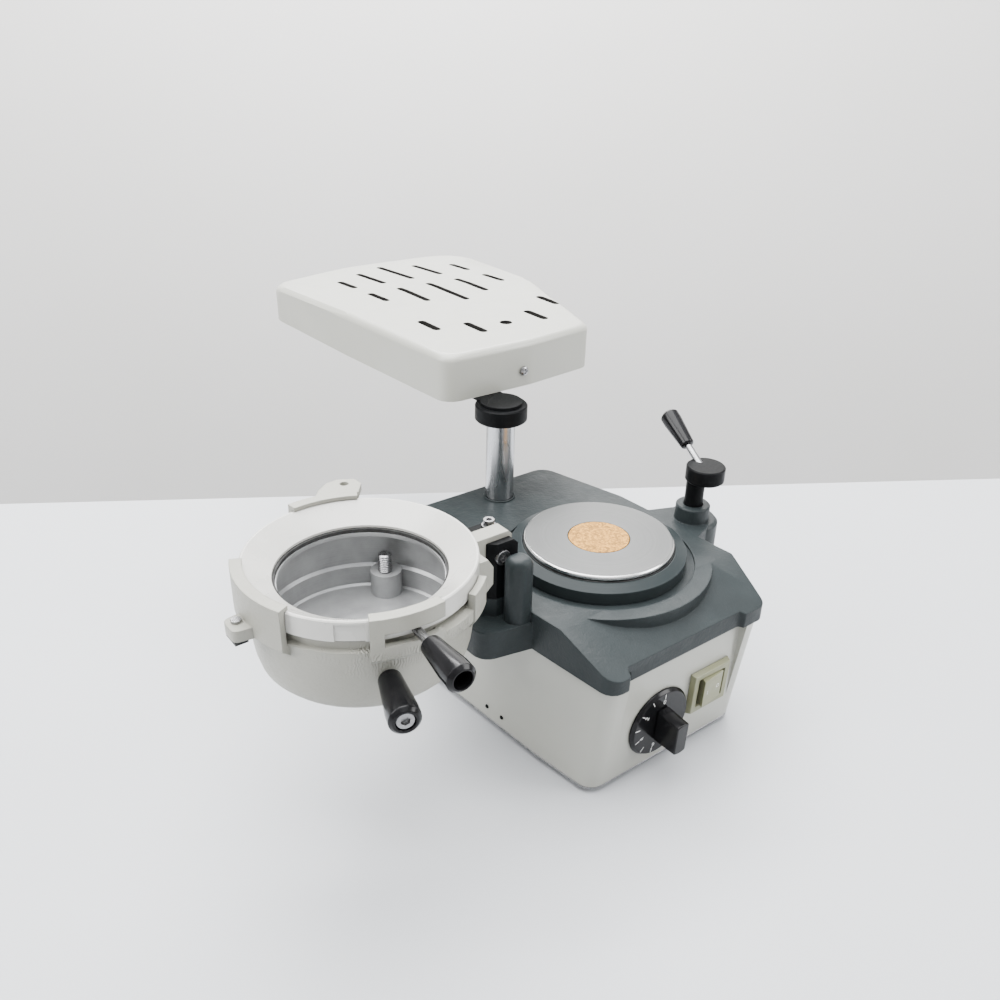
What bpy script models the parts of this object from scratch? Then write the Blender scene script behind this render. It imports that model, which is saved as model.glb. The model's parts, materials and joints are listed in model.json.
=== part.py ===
"""Pressure-forming machine: base with a round model platform, a chamber that flips over
onto it, a heater that swings on a column, and an eccentric lock post.

Metres, +Z up. The origin is on the platform's axis, at the underside of the bottom plate.
+X runs from the chamber towards the lock post, and the controls face -Y.
"""
import math

import bmesh
import bpy
from mathutils import Matrix, Vector

MM = 0.001
GAP = 0.3 * MM                      # clearance between neighbouring pieces

# Heights
FOOT_H = 4 * MM
BOTTOM_T = 2 * MM
HOUSING_TOP = 102.4 * MM
COVER_LOW = HOUSING_TOP + GAP
DECK_Z = 134.5 * MM
FRONT_EDGE_Z = 117 * MM             # the deck falls to this height at its front edge
PLATE_Z = 151 * MM                  # top of the model plate

# Platform
PLATE_R = 60 * MM
INSERT_R = 24.4 * MM
SEAT_R = 70.7 * MM
RECESS_R = 77.8 * MM
LEDGE_R = 91.5 * MM

# Flip axis of the chamber, parallel to Y, and the chamber's centre at rest
FLIP_X = -107 * MM
FLIP_Z = 175.5 * MM
CHAMBER_X = 2 * FLIP_X
OPENING_R = 57.5 * MM
RIM_Z = 193 * MM                    # machined rim that carries the gasket
RING_LOW = 195.4 * MM
RING_TOP = 209.8 * MM
RING_R = 77.4 * MM
CHAMBER_LOW = 135 * MM
LEVER_ANGLE = -95                   # degrees about the chamber's axis
HANDLE_ANGLE = -108

# Heater column
COLUMN_X, COLUMN_Y = -4 * MM, 127 * MM
COLUMN_R = 12.5 * MM
HEATER_LOW = 226.5 * MM
HEATER_TOP = 267.5 * MM
ELEMENT_X, ELEMENT_Y = 67 * MM, 361 * MM

# Lock post
LOCK_X, LOCK_Y = 110 * MM, 0.0
LOCK_OFFSET = 6.8 * MM              # eccentricity of the head
LOCK_REST = -59                     # degrees, direction of the eccentric at rest

# Front: the corners lean forward at the top, and the panel between them less so
FRONT_Y = -109 * MM
FRONT_FOOT_Y = -97 * MM
PANEL_TOP_Y = -102.6 * MM
PANEL_FOOT_Y = -99.4 * MM
PANEL_X = (-64 * MM, 61 * MM)
DIAL_X, DIAL_Z = -21.4 * MM, 44 * MM
DIAL_R = 30 * MM
SWITCH_X, SWITCH_Z = 31.2 * MM, 54.3 * MM
ROCKER_TILT = 0.12                  # slope of the rocker's face in its rest position

for old in list(bpy.data.objects):
    bpy.data.objects.remove(old, do_unlink=True)


# ---------------------------------------------------------------- helpers

def material(name, color, roughness, metallic=0.0):
    mat = bpy.data.materials.get(name)
    if mat is None:
        mat = bpy.data.materials.new(name)
        mat.use_nodes = True
        shader = mat.node_tree.nodes["Principled BSDF"]
        shader.inputs["Base Color"].default_value = (*color, 1.0)
        shader.inputs["Roughness"].default_value = roughness
        shader.inputs["Metallic"].default_value = metallic
        mat.diffuse_color = (*color, 1.0)
    return mat


WHITE = ("white_enamel", (0.72, 0.72, 0.70), 0.45, 0.0)
CHAMBER_PAINT = ("chamber_paint", (0.60, 0.60, 0.56), 0.5, 0.0)
GREY_GREEN = ("grey_green_paint", (0.075, 0.095, 0.095), 0.5, 0.0)
ALUMINIUM = ("aluminium", (0.55, 0.55, 0.55), 0.35, 1.0)
STEEL = ("steel", (0.55, 0.56, 0.58), 0.3, 1.0)
BRASS = ("brass", (0.65, 0.48, 0.2), 0.35, 1.0)
BLACK_METAL = ("black_metal", (0.012, 0.013, 0.015), 0.4, 0.0)
BLACK_PLASTIC = ("black_plastic", (0.015, 0.015, 0.016), 0.35, 0.0)
RUBBER = ("rubber", (0.02, 0.02, 0.02), 0.8, 0.0)
CORK = ("cork", (0.7, 0.5, 0.28), 0.9, 0.0)
BEIGE = ("beige_plastic", (0.6, 0.59, 0.45), 0.45, 0.0)
CERAMIC = ("ceramic", (0.7, 0.68, 0.62), 0.7, 0.0)
INSULATOR = ("insulator_plastic", (0.1, 0.12, 0.2), 0.6, 0.0)


def new_object(name, bm, finish):
    """Close up a bmesh, point its faces outwards and make an object of it."""
    bmesh.ops.remove_doubles(bm, verts=bm.verts, dist=1e-6)
    bmesh.ops.recalc_face_normals(bm, faces=bm.faces)
    mesh = bpy.data.meshes.new(name)
    bm.to_mesh(mesh)
    bm.free()
    obj = bpy.data.objects.new(name, mesh)
    bpy.context.scene.collection.objects.link(obj)
    obj.data.materials.append(material(*finish))
    mesh.shade_smooth()
    mesh.set_sharp_from_angle(angle=math.radians(32))
    return obj


def loft(name, lower, upper, finish):
    """A solid between two rings of the same number of (x, y, z) points."""
    bm = bmesh.new()
    low = [bm.verts.new(p) for p in lower]
    high = [bm.verts.new(p) for p in upper]
    bm.faces.new(list(reversed(low)))
    bm.faces.new(high)
    count = len(low)
    for i in range(count):
        j = (i + 1) % count
        bm.faces.new((low[i], low[j], high[j], high[i]))
    return new_object(name, bm, finish)


def stack(name, rings, finish):
    """A solid through several rings of the same number of (x, y, z) points, from bottom to top."""
    bm = bmesh.new()
    layers = [[bm.verts.new(p) for p in ring] for ring in rings]
    bm.faces.new(list(reversed(layers[0])))
    bm.faces.new(layers[-1])
    count = len(rings[0])
    for low, high in zip(layers, layers[1:]):
        for i in range(count):
            j = (i + 1) % count
            bm.faces.new((low[i], low[j], high[j], high[i]))
    return new_object(name, bm, finish)


def prism(name, outline, z0, z1, finish=STEEL):
    return loft(name, [(x, y, z0) for x, y in outline], [(x, y, z1) for x, y in outline], finish)


def slab(name, outline_xz, y0, y1, finish=STEEL):
    """A prism along Y from an outline of (x, z) points."""
    return loft(name, [(x, y0, z) for x, z in outline_xz], [(x, y1, z) for x, z in outline_xz], finish)


def box(name, x0, x1, y0, y1, z0, z1, finish=STEEL):
    return prism(name, [(x0, y0), (x1, y0), (x1, y1), (x0, y1)], z0, z1, finish)


def rounded(points, segments=5):
    """An outline from (x, y, corner radius) points, with each corner as an arc."""
    outline = []
    count = len(points)
    for i, (x, y, radius) in enumerate(points):
        here = Vector((x, y))
        if radius <= 0:
            outline.append((x, y))
            continue
        back = (Vector(points[i - 1][:2]) - here).normalized()
        ahead = (Vector(points[(i + 1) % count][:2]) - here).normalized()
        half = back.angle(ahead) / 2
        reach = radius / math.tan(half)
        centre = here + (back + ahead).normalized() * (radius / math.sin(half))
        start = here + back * reach - centre
        turn = (here + ahead * reach - centre)
        sweep = math.atan2(start.x * turn.y - start.y * turn.x, start.dot(turn))
        for k in range(segments + 1):
            p = Matrix.Rotation(sweep * k / segments, 2) @ start + centre
            outline.append((p.x, p.y))
    return outline


def circle(cx, cy, radius, segments=48, start=0.0):
    step = 2 * math.pi / segments
    return [(cx + radius * math.cos(start + step * i), cy + radius * math.sin(start + step * i))
            for i in range(segments)]


def turned(name, profile, finish, centre=(0, 0, 0), axis=(0, 0, 1), segments=48, span=None):
    """A body of revolution from (r, h) points about an axis through centre.

    span gives start and end angles in degrees for a part turn with flat ends."""
    bm = bmesh.new()
    full = span is None
    first, last = (0.0, 360.0) if full else span
    rings = []
    steps = segments if full else segments + 1
    for i in range(steps):
        angle = math.radians(first + (last - first) * i / segments)
        c, s = math.cos(angle), math.sin(angle)
        rings.append([bm.verts.new((r * c, r * s, h)) for r, h in profile])
    count = len(profile)
    for i in range(segments):
        a, b = rings[i], rings[(i + 1) % steps]
        for k in range(count):
            n = (k + 1) % count
            face = [a[k], b[k], b[n], a[n]]
            if profile[k][0] < 1e-9 and profile[n][0] < 1e-9:
                continue
            bm.faces.new(face)
    if not full:
        bm.faces.new(rings[0])
        bm.faces.new(list(reversed(rings[-1])))
    bmesh.ops.remove_doubles(bm, verts=bm.verts, dist=1e-7)
    bmesh.ops.dissolve_degenerate(bm, dist=1e-7, edges=bm.edges)
    turn = Vector((0, 0, 1)).rotation_difference(Vector(axis)).to_matrix().to_4x4()
    bmesh.ops.transform(bm, matrix=Matrix.Translation(centre) @ turn, verts=bm.verts)
    return new_object(name, bm, finish)


def rod(name, start, end, radius, finish=STEEL, segments=24):
    start, end = Vector(start), Vector(end)
    length = (end - start).length
    return turned(name, [(0, 0), (radius, 0), (radius, length), (0, length)], finish,
                  start, (end - start).normalized(), segments)


def nut(name, centre, across, bore, z0, z1):
    """A hexagonal nut round a vertical shaft."""
    body = turned(name, [(0, z0), (across, z0), (across, z1), (0, z1)], STEEL, centre, segments=6)
    return cut(body, rod("bore", (centre[0], centre[1], z0 - MM), (centre[0], centre[1], z1 + MM), bore,
                         STEEL, 32))


def boolean(target, tool, operation):
    step = target.modifiers.new(operation.lower(), "BOOLEAN")
    step.operation = operation
    step.object = tool
    step.solver = "EXACT"
    with bpy.context.temp_override(object=target, active_object=target, selected_objects=[target]):
        bpy.ops.object.modifier_apply(modifier=step.name)
    bpy.data.objects.remove(tool, do_unlink=True)
    target.data.shade_smooth()
    target.data.set_sharp_from_angle(angle=math.radians(32))
    return target


def cut(target, *tools):
    for tool in tools:
        boolean(target, tool, "DIFFERENCE")
    return target


def fuse(target, *tools):
    for tool in tools:
        boolean(target, tool, "UNION")
    return target


def polar(radius, degrees, height, centre_x=CHAMBER_X, centre_y=0.0):
    angle = math.radians(degrees)
    return Vector((centre_x + radius * math.cos(angle), centre_y + radius * math.sin(angle), height))


def set_origin(obj, point):
    """Move an object's origin to a point and leave its mesh where it is."""
    obj.data.transform(Matrix.Translation(-Vector(point)))
    obj.location = point


def grip(name, start, direction, length, near_r, far_r, bore=0.0, bore_depth=0.0):
    """A tapered black handle, hollow at its far end when bore is given."""
    edge = 1.2 * MM
    profile = [(0, 0), (near_r - edge, 0), (near_r, edge), (far_r, length * 0.75),
               (far_r, length - 2 * edge), (far_r - 2 * edge, length)]
    if bore:
        profile += [(bore, length), (bore, length - bore_depth), (0, length - bore_depth)]
    else:
        profile += [(0, length)]
    return turned(name, profile, BLACK_PLASTIC, start, direction, 24)


def hex_screw(name, seat, direction, head_r, head_h, finish=STEEL):
    """A socket screw's head, with a hexagonal socket."""
    seat, direction = Vector(seat), Vector(direction).normalized()
    screw = rod(name, seat, seat + direction * head_h, head_r, finish, 20)
    socket_r = head_r * 0.55
    depth = head_h * 0.6
    tool = turned("socket", [(0, 0), (socket_r, 0), (socket_r, 2 * depth), (0, 2 * depth)], finish,
                  seat + direction * (head_h - depth), direction, 6)
    return cut(screw, tool)


# ---------------------------------------------------------------- base

LEFT_LEAN = (-92 * MM, -41 * MM)


def housing_outline(front_y, left, right, back, corner):
    """The housing's outline. left, right and back move those sides inwards."""
    return rounded([
        (-84 * MM + left, front_y, corner), (79.5 * MM - right, front_y, corner),
        (88 * MM - right, -55 * MM, 12 * MM),
        (84 * MM - right, 60 * MM, 12 * MM), (62 * MM - right, 146 * MM - back, corner),
        (-107 * MM + left, 146 * MM - back, corner), (LEFT_LEAN[0] + left, LEFT_LEAN[1], 0)], 4)


def panel_y(z):
    """Where the front panel's face lies at height z."""
    return PANEL_TOP_Y + (PANEL_FOOT_Y - PANEL_TOP_Y) * (HOUSING_TOP - z) / (HOUSING_TOP - BOTTOM_T)


def base_housing():
    z0, z1 = BOTTOM_T + GAP, HOUSING_TOP
    wall = 3 * MM
    low = housing_outline(FRONT_FOOT_Y, 1 * MM, 3 * MM, 4 * MM, 13 * MM)
    high = housing_outline(FRONT_Y, 0, 2.5 * MM, 0, 13 * MM)
    low_in = housing_outline(FRONT_FOOT_Y + wall, 1 * MM + wall, 3 * MM + wall, 4 * MM + wall, 10 * MM)
    high_in = housing_outline(PANEL_TOP_Y + wall, wall, 2.5 * MM + wall, wall, 10 * MM)
    bm = bmesh.new()
    rings = [[bm.verts.new((x, y, z)) for x, y in outline]
             for outline, z in ((low, z0), (high, z1), (high_in, z1), (low_in, z0))]
    count = len(low)
    for a, b in ((0, 1), (1, 2), (2, 3), (3, 0)):
        for i in range(count):
            j = (i + 1) % count
            bm.faces.new((rings[a][i], rings[a][j], rings[b][j], rings[b][i]))
    shell = new_object("base_housing", bm, WHITE)
    # the recessed panel between the front corners
    reach = 10 * MM
    rims = [[(x, y, z) for x, y in ((PANEL_X[0], FRONT_Y - reach), (PANEL_X[1], FRONT_Y - reach),
                                    (PANEL_X[1], panel_y(z)), (PANEL_X[0], panel_y(z)))]
            for z in (z0 - reach, z1 + reach)]
    cut(shell, loft("recess", rims[0], rims[1], WHITE))
    # openings: timer shaft, switch, mains inlet, air connector
    deep = 20 * MM
    cut(shell,
        rod("hole", (DIAL_X, FRONT_Y - deep, DIAL_Z), (DIAL_X, FRONT_Y + deep, DIAL_Z), 5 * MM, WHITE, 20),
        box("hole", SWITCH_X - 16.6 * MM, SWITCH_X + 16.6 * MM, FRONT_Y - deep, FRONT_Y + deep,
            SWITCH_Z - 16.5 * MM, SWITCH_Z + 16.5 * MM, WHITE),
        box("hole", -14.3 * MM, 14.3 * MM, 146 * MM - deep, 146 * MM + deep, 30.7 * MM, 51.3 * MM, WHITE),
        rod("hole", (-60 * MM, 146 * MM - deep, 40 * MM), (-60 * MM, 146 * MM + deep, 40 * MM),
            6.3 * MM, WHITE, 20))
    return shell


def bottom_plate():
    low = housing_outline(FRONT_FOOT_Y, 1 * MM, 3 * MM, 4 * MM, 13 * MM)
    return prism("bottom_plate", low, 0, BOTTOM_T, STEEL)


def side_screws():
    """Two small screws low on the left side, which leans back by a few degrees in plan."""
    back_x = -107 * MM
    back_y = 146 * MM
    lean_x, lean_y = LEFT_LEAN
    outward = Vector((lean_y - back_y, back_x - lean_x, 0)).normalized()
    for index, y in enumerate((-1.3 * MM, 16.7 * MM), 1):
        x = lean_x + (back_x - lean_x) * (y - lean_y) / (back_y - lean_y) + 0.9 * MM
        seat = Vector((x, y, 13 * MM)) + outward * (0.4 * MM)
        turned(f"side_screw_{index}", [(0, 0), (1.9 * MM, 0), (1.6 * MM, 0.7 * MM), (0.8 * MM, 1.1 * MM),
                                       (0, 1.1 * MM)], BLACK_METAL, seat, outward, 16)


def feet():
    spots = ((-72, -80), (62, -80), (50, 122), (-88, 122))
    for index, (x, y) in enumerate(spots, 1):
        turned(f"foot_{index}", [(0, 0), (6.5 * MM, 0), (8 * MM, FOOT_H - GAP), (0, FOOT_H - GAP)], RUBBER,
               (x * MM, y * MM, -FOOT_H), segments=24)


# ---------------------------------------------------------------- top cover

def cover_outline(inset=0.0):
    """The cover's plan: front corner ears, the lock boss on the right, a lean to the left."""
    step = inset
    return rounded([
        (-86 * MM + step, -113 * MM + step, 12 * MM), (-68 * MM + step, -113 * MM + step, 3 * MM),
        (-66 * MM + step, -105.5 * MM + step, 3 * MM), (54 * MM - step, -105.5 * MM + step, 3 * MM),
        (56.5 * MM - step, -109.5 * MM + step, 1.5 * MM), (79.5 * MM - step, -109.5 * MM + step, 8 * MM),
        (83 * MM - step, -96 * MM, 8 * MM), (91 * MM - step, -62 * MM, 14 * MM),
        (89.5 * MM - step, -44 * MM, 10 * MM), (88 * MM - step, 30 * MM, 20 * MM),
        (86 * MM - step, 64 * MM, 30 * MM), (65 * MM - step, 149 * MM - step, 15 * MM),
        (-110 * MM + step, 149 * MM - step, 15 * MM), (-94 * MM + step, -41 * MM, 0)], 4)


def top_cover():
    low = COVER_LOW - 2 * MM
    cover = prism("top_cover", cover_outline(), low, DECK_Z, GREY_GREEN)
    # the deck falls towards the front
    bend_y, front_y = -62 * MM, -105.5 * MM
    fall = (DECK_Z - FRONT_EDGE_Z) / (bend_y - front_y)
    far_y = front_y - 20 * MM
    high = DECK_Z + 10 * MM
    wedge = loft("wedge",
                 [(-0.2, bend_y, DECK_Z), (-0.2, bend_y, high), (-0.2, far_y, high),
                  (-0.2, far_y, DECK_Z - fall * (bend_y - far_y))],
                 [(0.2, bend_y, DECK_Z), (0.2, bend_y, high), (0.2, far_y, high),
                  (0.2, far_y, DECK_Z - fall * (bend_y - far_y))], GREY_GREEN)
    cut(cover, wedge)
    ledge = prism("ledge", circle(0, 0, LEDGE_R, 72), COVER_LOW + 4 * MM, DECK_Z - 0.1 * MM)
    boss = turned("boss", [(0, low - 1 * MM), (23 * MM, low - 1 * MM), (23 * MM, DECK_Z - 3.5 * MM),
                           (20.5 * MM, DECK_Z - 0.6 * MM), (0, DECK_Z - 0.6 * MM)], GREY_GREEN,
                  (LOCK_X + 2 * MM, LOCK_Y + 2 * MM, 0), segments=40)
    collar = turned("collar", [(0, DECK_Z - 9 * MM), (15.2 * MM, DECK_Z - 9 * MM), (14.7 * MM, DECK_Z + 12.5 * MM),
                               (13.7 * MM, DECK_Z + 13.5 * MM), (0, DECK_Z + 13.5 * MM)], GREY_GREEN,
                    (LOCK_X, LOCK_Y, 0), segments=40)
    web = prism("web", [(60 * MM, -38 * MM), (LOCK_X, -19.5 * MM), (LOCK_X, 22.5 * MM), (60 * MM, 42 * MM)],
                low - 0.5 * MM, DECK_Z - 0.35 * MM)
    fuse(cover, ledge, web, boss, collar)
    # the hinge side: a lower bulge, a pedestal for the hinge block and a stop post
    bulge = prism("bulge", rounded([(-85 * MM, -37 * MM, 0), (-85 * MM, 37 * MM, 0),
                                    (-135 * MM, 33 * MM, 14 * MM), (-135 * MM, -27 * MM, 14 * MM)]),
                  low + 0.5 * MM, 126 * MM)
    pedestal = prism("pedestal", [(-121.5 * MM, -4 * MM), (-112 * MM, -13.5 * MM), (-85 * MM, -13.5 * MM),
                                  (-85 * MM, 19.5 * MM), (-121.5 * MM, 19.5 * MM)], 110 * MM, 141 * MM)
    post_low = [(-110, -27), (-104, -33), (-95, -33), (-91, -29), (-91, -19), (-95, -15), (-106, -15),
                (-110, -19)]
    centre = Vector((-100.5, -24))
    top = [((Vector(p) - centre) * 0.72 + centre) for p in post_low]
    post_rings = [[(x * MM, y * MM, z) for x, y in post_low] for z in (110 * MM, 175 * MM)]
    post_rings.append([(p.x * MM, p.y * MM, 179 * MM) for p in top])
    post = stack("post", post_rings, GREY_GREEN)
    fuse(cover, bulge, pedestal, post)
    cut(cover, box("level", -0.2, 0.2, -0.2, 0.2, 0.09, COVER_LOW))
    # recess round the seat ring, and the hollow underneath
    cut(cover, prism("recess", circle(0, 0, RECESS_R, 64), DECK_Z - 2 * MM, DECK_Z + 10 * MM))
    hollow_top = 127 * MM
    cut(cover,
        prism("hollow", cover_outline(7 * MM), COVER_LOW - 5 * MM, FRONT_EDGE_Z - 6 * MM),
        prism("hollow", rounded([(-84 * MM, -55 * MM, 8 * MM), (84 * MM, -55 * MM, 8 * MM),
                                 (78 * MM, 40 * MM, 8 * MM), (60 * MM, 144 * MM, 12 * MM),
                                 (-98 * MM, 144 * MM, 12 * MM)], 3), COVER_LOW - 5 * MM, hollow_top))
    # bores: platform spindle, column, lock shaft
    cut(cover,
        rod("bore", (0, 0, 0.1), (0, 0, 0.14), 8 * MM, GREY_GREEN, 24),
        rod("bore", (COLUMN_X, COLUMN_Y, 0.1), (COLUMN_X, COLUMN_Y, 0.14), COLUMN_R + GAP, GREY_GREEN, 40),
        rod("bore", (LOCK_X, LOCK_Y, 0.09), (LOCK_X, LOCK_Y, 0.16), 8.4 * MM, GREY_GREEN, 32))
    return cover


def platform():
    floor = DECK_Z - 2 * MM + GAP
    turned("seat_ring", [(50 * MM, floor), (SEAT_R, floor), (SEAT_R, 143 * MM), (62.2 * MM, 146.6 * MM),
                         (61 * MM, 146.6 * MM), (61 * MM, 143 * MM), (50 * MM, 143 * MM)],
           GREY_GREEN, segments=64)
    turned("plate_seal", [(52 * MM, 143 * MM + GAP), (60.6 * MM, 143 * MM + GAP), (60.6 * MM, 146.6 * MM),
                          (52 * MM, 146.6 * MM)], RUBBER, segments=64)
    low = 146.6 * MM + GAP
    pocket = PLATE_Z - 2.2 * MM
    turned("model_plate", [(0, low), (PLATE_R - 0.6 * MM, low), (PLATE_R, low + 0.8 * MM),
                           (PLATE_R, PLATE_Z - 1 * MM), (PLATE_R - 1 * MM, PLATE_Z),
                           (INSERT_R + 0.4 * MM, PLATE_Z), (INSERT_R + 0.4 * MM, pocket), (0, pocket)],
           ALUMINIUM, segments=64)
    turned("plate_insert", [(0, pocket + GAP), (INSERT_R, pocket + GAP), (INSERT_R, PLATE_Z), (0, PLATE_Z)],
           CORK, segments=48)
    turned("platform_spindle", [(0, 106 * MM), (12 * MM, 106 * MM), (12 * MM, 118 * MM), (7.5 * MM, 118 * MM),
                                (7.5 * MM, low - GAP), (0, low - GAP)], STEEL, segments=24)


# ---------------------------------------------------------------- heater

def column():
    turned("column", [(0, 108 * MM), (COLUMN_R, 108 * MM), (COLUMN_R, 220.5 * MM),
                      (COLUMN_R - 1 * MM, 221.5 * MM), (0, 221.5 * MM)], STEEL,
           (COLUMN_X, COLUMN_Y, 0), segments=40)
    turned("column_flange", [(COLUMN_R + GAP, DECK_Z + GAP), (16.5 * MM, DECK_Z + GAP),
                             (16.5 * MM, DECK_Z + 2 * MM), (15.5 * MM, DECK_Z + 3 * MM),
                             (COLUMN_R + GAP, DECK_Z + 3 * MM)], GREY_GREEN,
           (COLUMN_X, COLUMN_Y, 0), segments=40)
    nut("column_nut", (COLUMN_X, COLUMN_Y, 0), 17.5 * MM, COLUMN_R + GAP, 112 * MM, 122 * MM)


def swing_collar():
    low, high, neck = 209.5 * MM, 223.5 * MM, 226.2 * MM
    edge = 1 * MM
    collar = turned("swing_collar", [(0, low), (22.7 * MM - edge, low), (22.7 * MM, low + edge),
                                     (22.7 * MM, high - edge), (22.7 * MM - edge, high), (18 * MM, high),
                                     (18 * MM, neck), (0, neck)],
                    BLACK_METAL, (COLUMN_X, COLUMN_Y, 0), segments=40)
    tongue = box("tongue", COLUMN_X - 12 * MM, COLUMN_X + 12 * MM, COLUMN_Y + 10 * MM, COLUMN_Y + 90 * MM,
                 high - 1.3 * MM, neck - 0.02 * MM)
    fuse(collar, tongue)
    cut(collar, rod("bore", (COLUMN_X, COLUMN_Y, 0.2), (COLUMN_X, COLUMN_Y, 221.8 * MM), COLUMN_R + GAP,
                    BLACK_METAL, 40))
    return collar


def heater_outline(inset=0.0):
    """Plan of the heater at rest: narrow by the column, wide over the element."""
    d = inset
    return rounded([
        (-48 * MM + d, 145 * MM + d, 15 * MM), (40 * MM, 143 * MM + d, 60 * MM),
        (115 * MM - d, 150 * MM + d, 16 * MM), (166 * MM - d, 300 * MM, 90 * MM),
        (182 * MM - d, 468 * MM - d, 34 * MM), (40 * MM, 478 * MM - d, 120 * MM),
        (-64 * MM + d, 452 * MM - d, 26 * MM), (-58 * MM + d, 300 * MM, 60 * MM)], 4)


def slot_outline(x, y0, y1, width):
    r = width / 2
    points = []
    for centre_y, start in ((y1 - r, 0.0), (y0 + r, math.pi)):
        for k in range(5):
            angle = start + math.pi * k / 4
            points.append((x + r * math.cos(angle), centre_y + r * math.sin(angle)))
    return points


def heater_slots():
    """Vents in the heater's top: two mirrored rows over the element, and a row by the column."""
    columns = (-3, 31, 66, 101.5, 138)
    lengths = (37, 58, 74.5, 58, 37)
    outlines = []
    for x, length in zip(columns, lengths):
        outlines.append(slot_outline(x * MM, (350 - length) * MM, 350 * MM, 7 * MM))
        outlines.append(slot_outline(x * MM, 376 * MM, (376 + length) * MM, 7 * MM))
    for x, y in ((-12, 210), (20, 183), (90, 183), (131, 215)):
        outlines.append(slot_outline(x * MM, y * MM, (y + 33) * MM, 8 * MM))
    outlines.append(circle(52 * MM, 196 * MM, 6 * MM, 12))
    return outlines


def heater_shell():
    wall = 2 * MM
    crown = 4 * MM
    rings = []
    outer, inner = heater_outline(), heater_outline(crown)
    bm = bmesh.new()

    def drop(y):
        """The top falls gently beyond the middle of the element."""
        return max(0.0, y - 340 * MM) * 0.05

    for outline, z, follow in ((outer, HEATER_LOW, False), (outer, HEATER_TOP - crown, True),
                               (inner, HEATER_TOP, True)):
        rings.append([bm.verts.new((x, y, z - (drop(y) if follow else 0.0))) for x, y in outline])
    hollow = heater_outline(wall)
    rings.append([bm.verts.new((x, y, HEATER_TOP - 2 * wall - drop(y))) for x, y in hollow])
    rings.append([bm.verts.new((x, y, HEATER_LOW)) for x, y in hollow])
    count = len(outer)
    for a, b in ((0, 1), (1, 2), (3, 4), (4, 0)):
        for i in range(count):
            j = (i + 1) % count
            bm.faces.new((rings[a][i], rings[a][j], rings[b][j], rings[b][i]))
    for ring in (rings[2], rings[3]):
        hub_x = sum(v.co.x for v in ring) / count
        hub_y = 340 * MM
        top_z = HEATER_TOP if ring is rings[2] else HEATER_TOP - 2 * wall
        hub = bm.verts.new((hub_x, hub_y, top_z))
        for i in range(count):
            bm.faces.new((ring[i], ring[(i + 1) % count], hub))
    shell = new_object("heater_shell", bm, WHITE)
    for outline in heater_slots():
        cut(shell, prism("slot", outline, HEATER_TOP - 30 * MM, HEATER_TOP + 5 * MM))
    cut(shell, rod("hole", (32 * MM, 130 * MM, 241 * MM), (32 * MM, 152 * MM, 241 * MM), 2.6 * MM, WHITE, 16))
    return shell


def heater_inside():
    low = HEATER_LOW
    pan = prism("heater_pan", heater_outline(3 * MM), low, low + 2 * MM, STEEL)
    cut(pan, prism("hole", circle(ELEMENT_X, ELEMENT_Y, 66 * MM, 48), low - 5 * MM, low + 9 * MM))
    centre = (ELEMENT_X, ELEMENT_Y, 0)
    turned("heater_reflector", [(0, 252 * MM), (60 * MM, 252 * MM), (74 * MM, 232 * MM), (75.5 * MM, 232 * MM),
                                (61 * MM, 253.5 * MM), (0, 253.5 * MM)], ALUMINIUM, centre, segments=40)
    turned("heating_element", [(18 * MM, 238 * MM), (56 * MM, 238 * MM), (56 * MM, 245 * MM),
                               (18 * MM, 245 * MM)], CERAMIC, centre, segments=40)
    guard = turned("heater_guard", [(64 * MM, low + 2.3 * MM), (72 * MM, low + 2.3 * MM),
                                    (72 * MM, low + 3.5 * MM), (64 * MM, low + 3.5 * MM)], STEEL, centre,
                   segments=40)
    for offset in (-32 * MM, 0.0, 32 * MM):
        reach = math.sqrt((68 * MM) ** 2 - offset ** 2)
        z0, z1 = low + 2.5 * MM, low + 3.3 * MM
        for half in ((ELEMENT_X - reach, ELEMENT_X + reach, ELEMENT_Y + offset - 1 * MM,
                      ELEMENT_Y + offset + 1 * MM, z0, z1),
                     (ELEMENT_X + offset - 1 * MM, ELEMENT_X + offset + 1 * MM, ELEMENT_Y - reach,
                      ELEMENT_Y + reach, z0, z1)):
            fuse(guard, box("wire", *half))
    bracket = box("heater_bracket", COLUMN_X - 20 * MM, COLUMN_X + 20 * MM, COLUMN_Y + 35 * MM,
                  COLUMN_Y + 85 * MM, low + 2.3 * MM, low + 5 * MM)
    cut(bracket, rod("hole", (COLUMN_X, COLUMN_Y + 60 * MM, 0.2), (COLUMN_X, COLUMN_Y + 60 * MM, 0.25),
                     4 * MM, STEEL, 12))


def heater_screws():
    """The cross-head screw in the near face and the two that hold the heater to the tongue."""
    face = 145 * MM
    screw = turned("heater_face_screw", [(0, 0), (4.2 * MM, 0), (4 * MM, 1.6 * MM), (2.4 * MM, 2.6 * MM),
                                         (0, 2.6 * MM)], STEEL, (32 * MM, 142.6 * MM, 241 * MM), (0, -1, 0), 20)
    for half in ((0.5, 2.2), (2.2, 0.5)):
        cut(screw, box("cross", 32 * MM - half[0] * MM, 32 * MM + half[0] * MM, face - 8 * MM,
                       face - 4 * MM, 241 * MM - half[1] * MM, 241 * MM + half[1] * MM))
    bolt = rod("heater_bolt", (COLUMN_X, COLUMN_Y + 60 * MM, HEATER_LOW + 5.3 * MM),
               (COLUMN_X, COLUMN_Y + 60 * MM, HEATER_LOW + 9.5 * MM), 6 * MM, STEEL, 6)
    return screw, bolt


# ---------------------------------------------------------------- chamber

def sector(name, r0, r1, z0, z1, a0, a1, finish=CHAMBER_PAINT):
    segments = max(4, int(abs(a1 - a0) / 5))
    return turned(name, [(r0, z0), (r1, z0), (r1, z1), (r0, z1)], finish, (CHAMBER_X, 0, 0),
                  segments=segments, span=(a0, a1))


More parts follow.
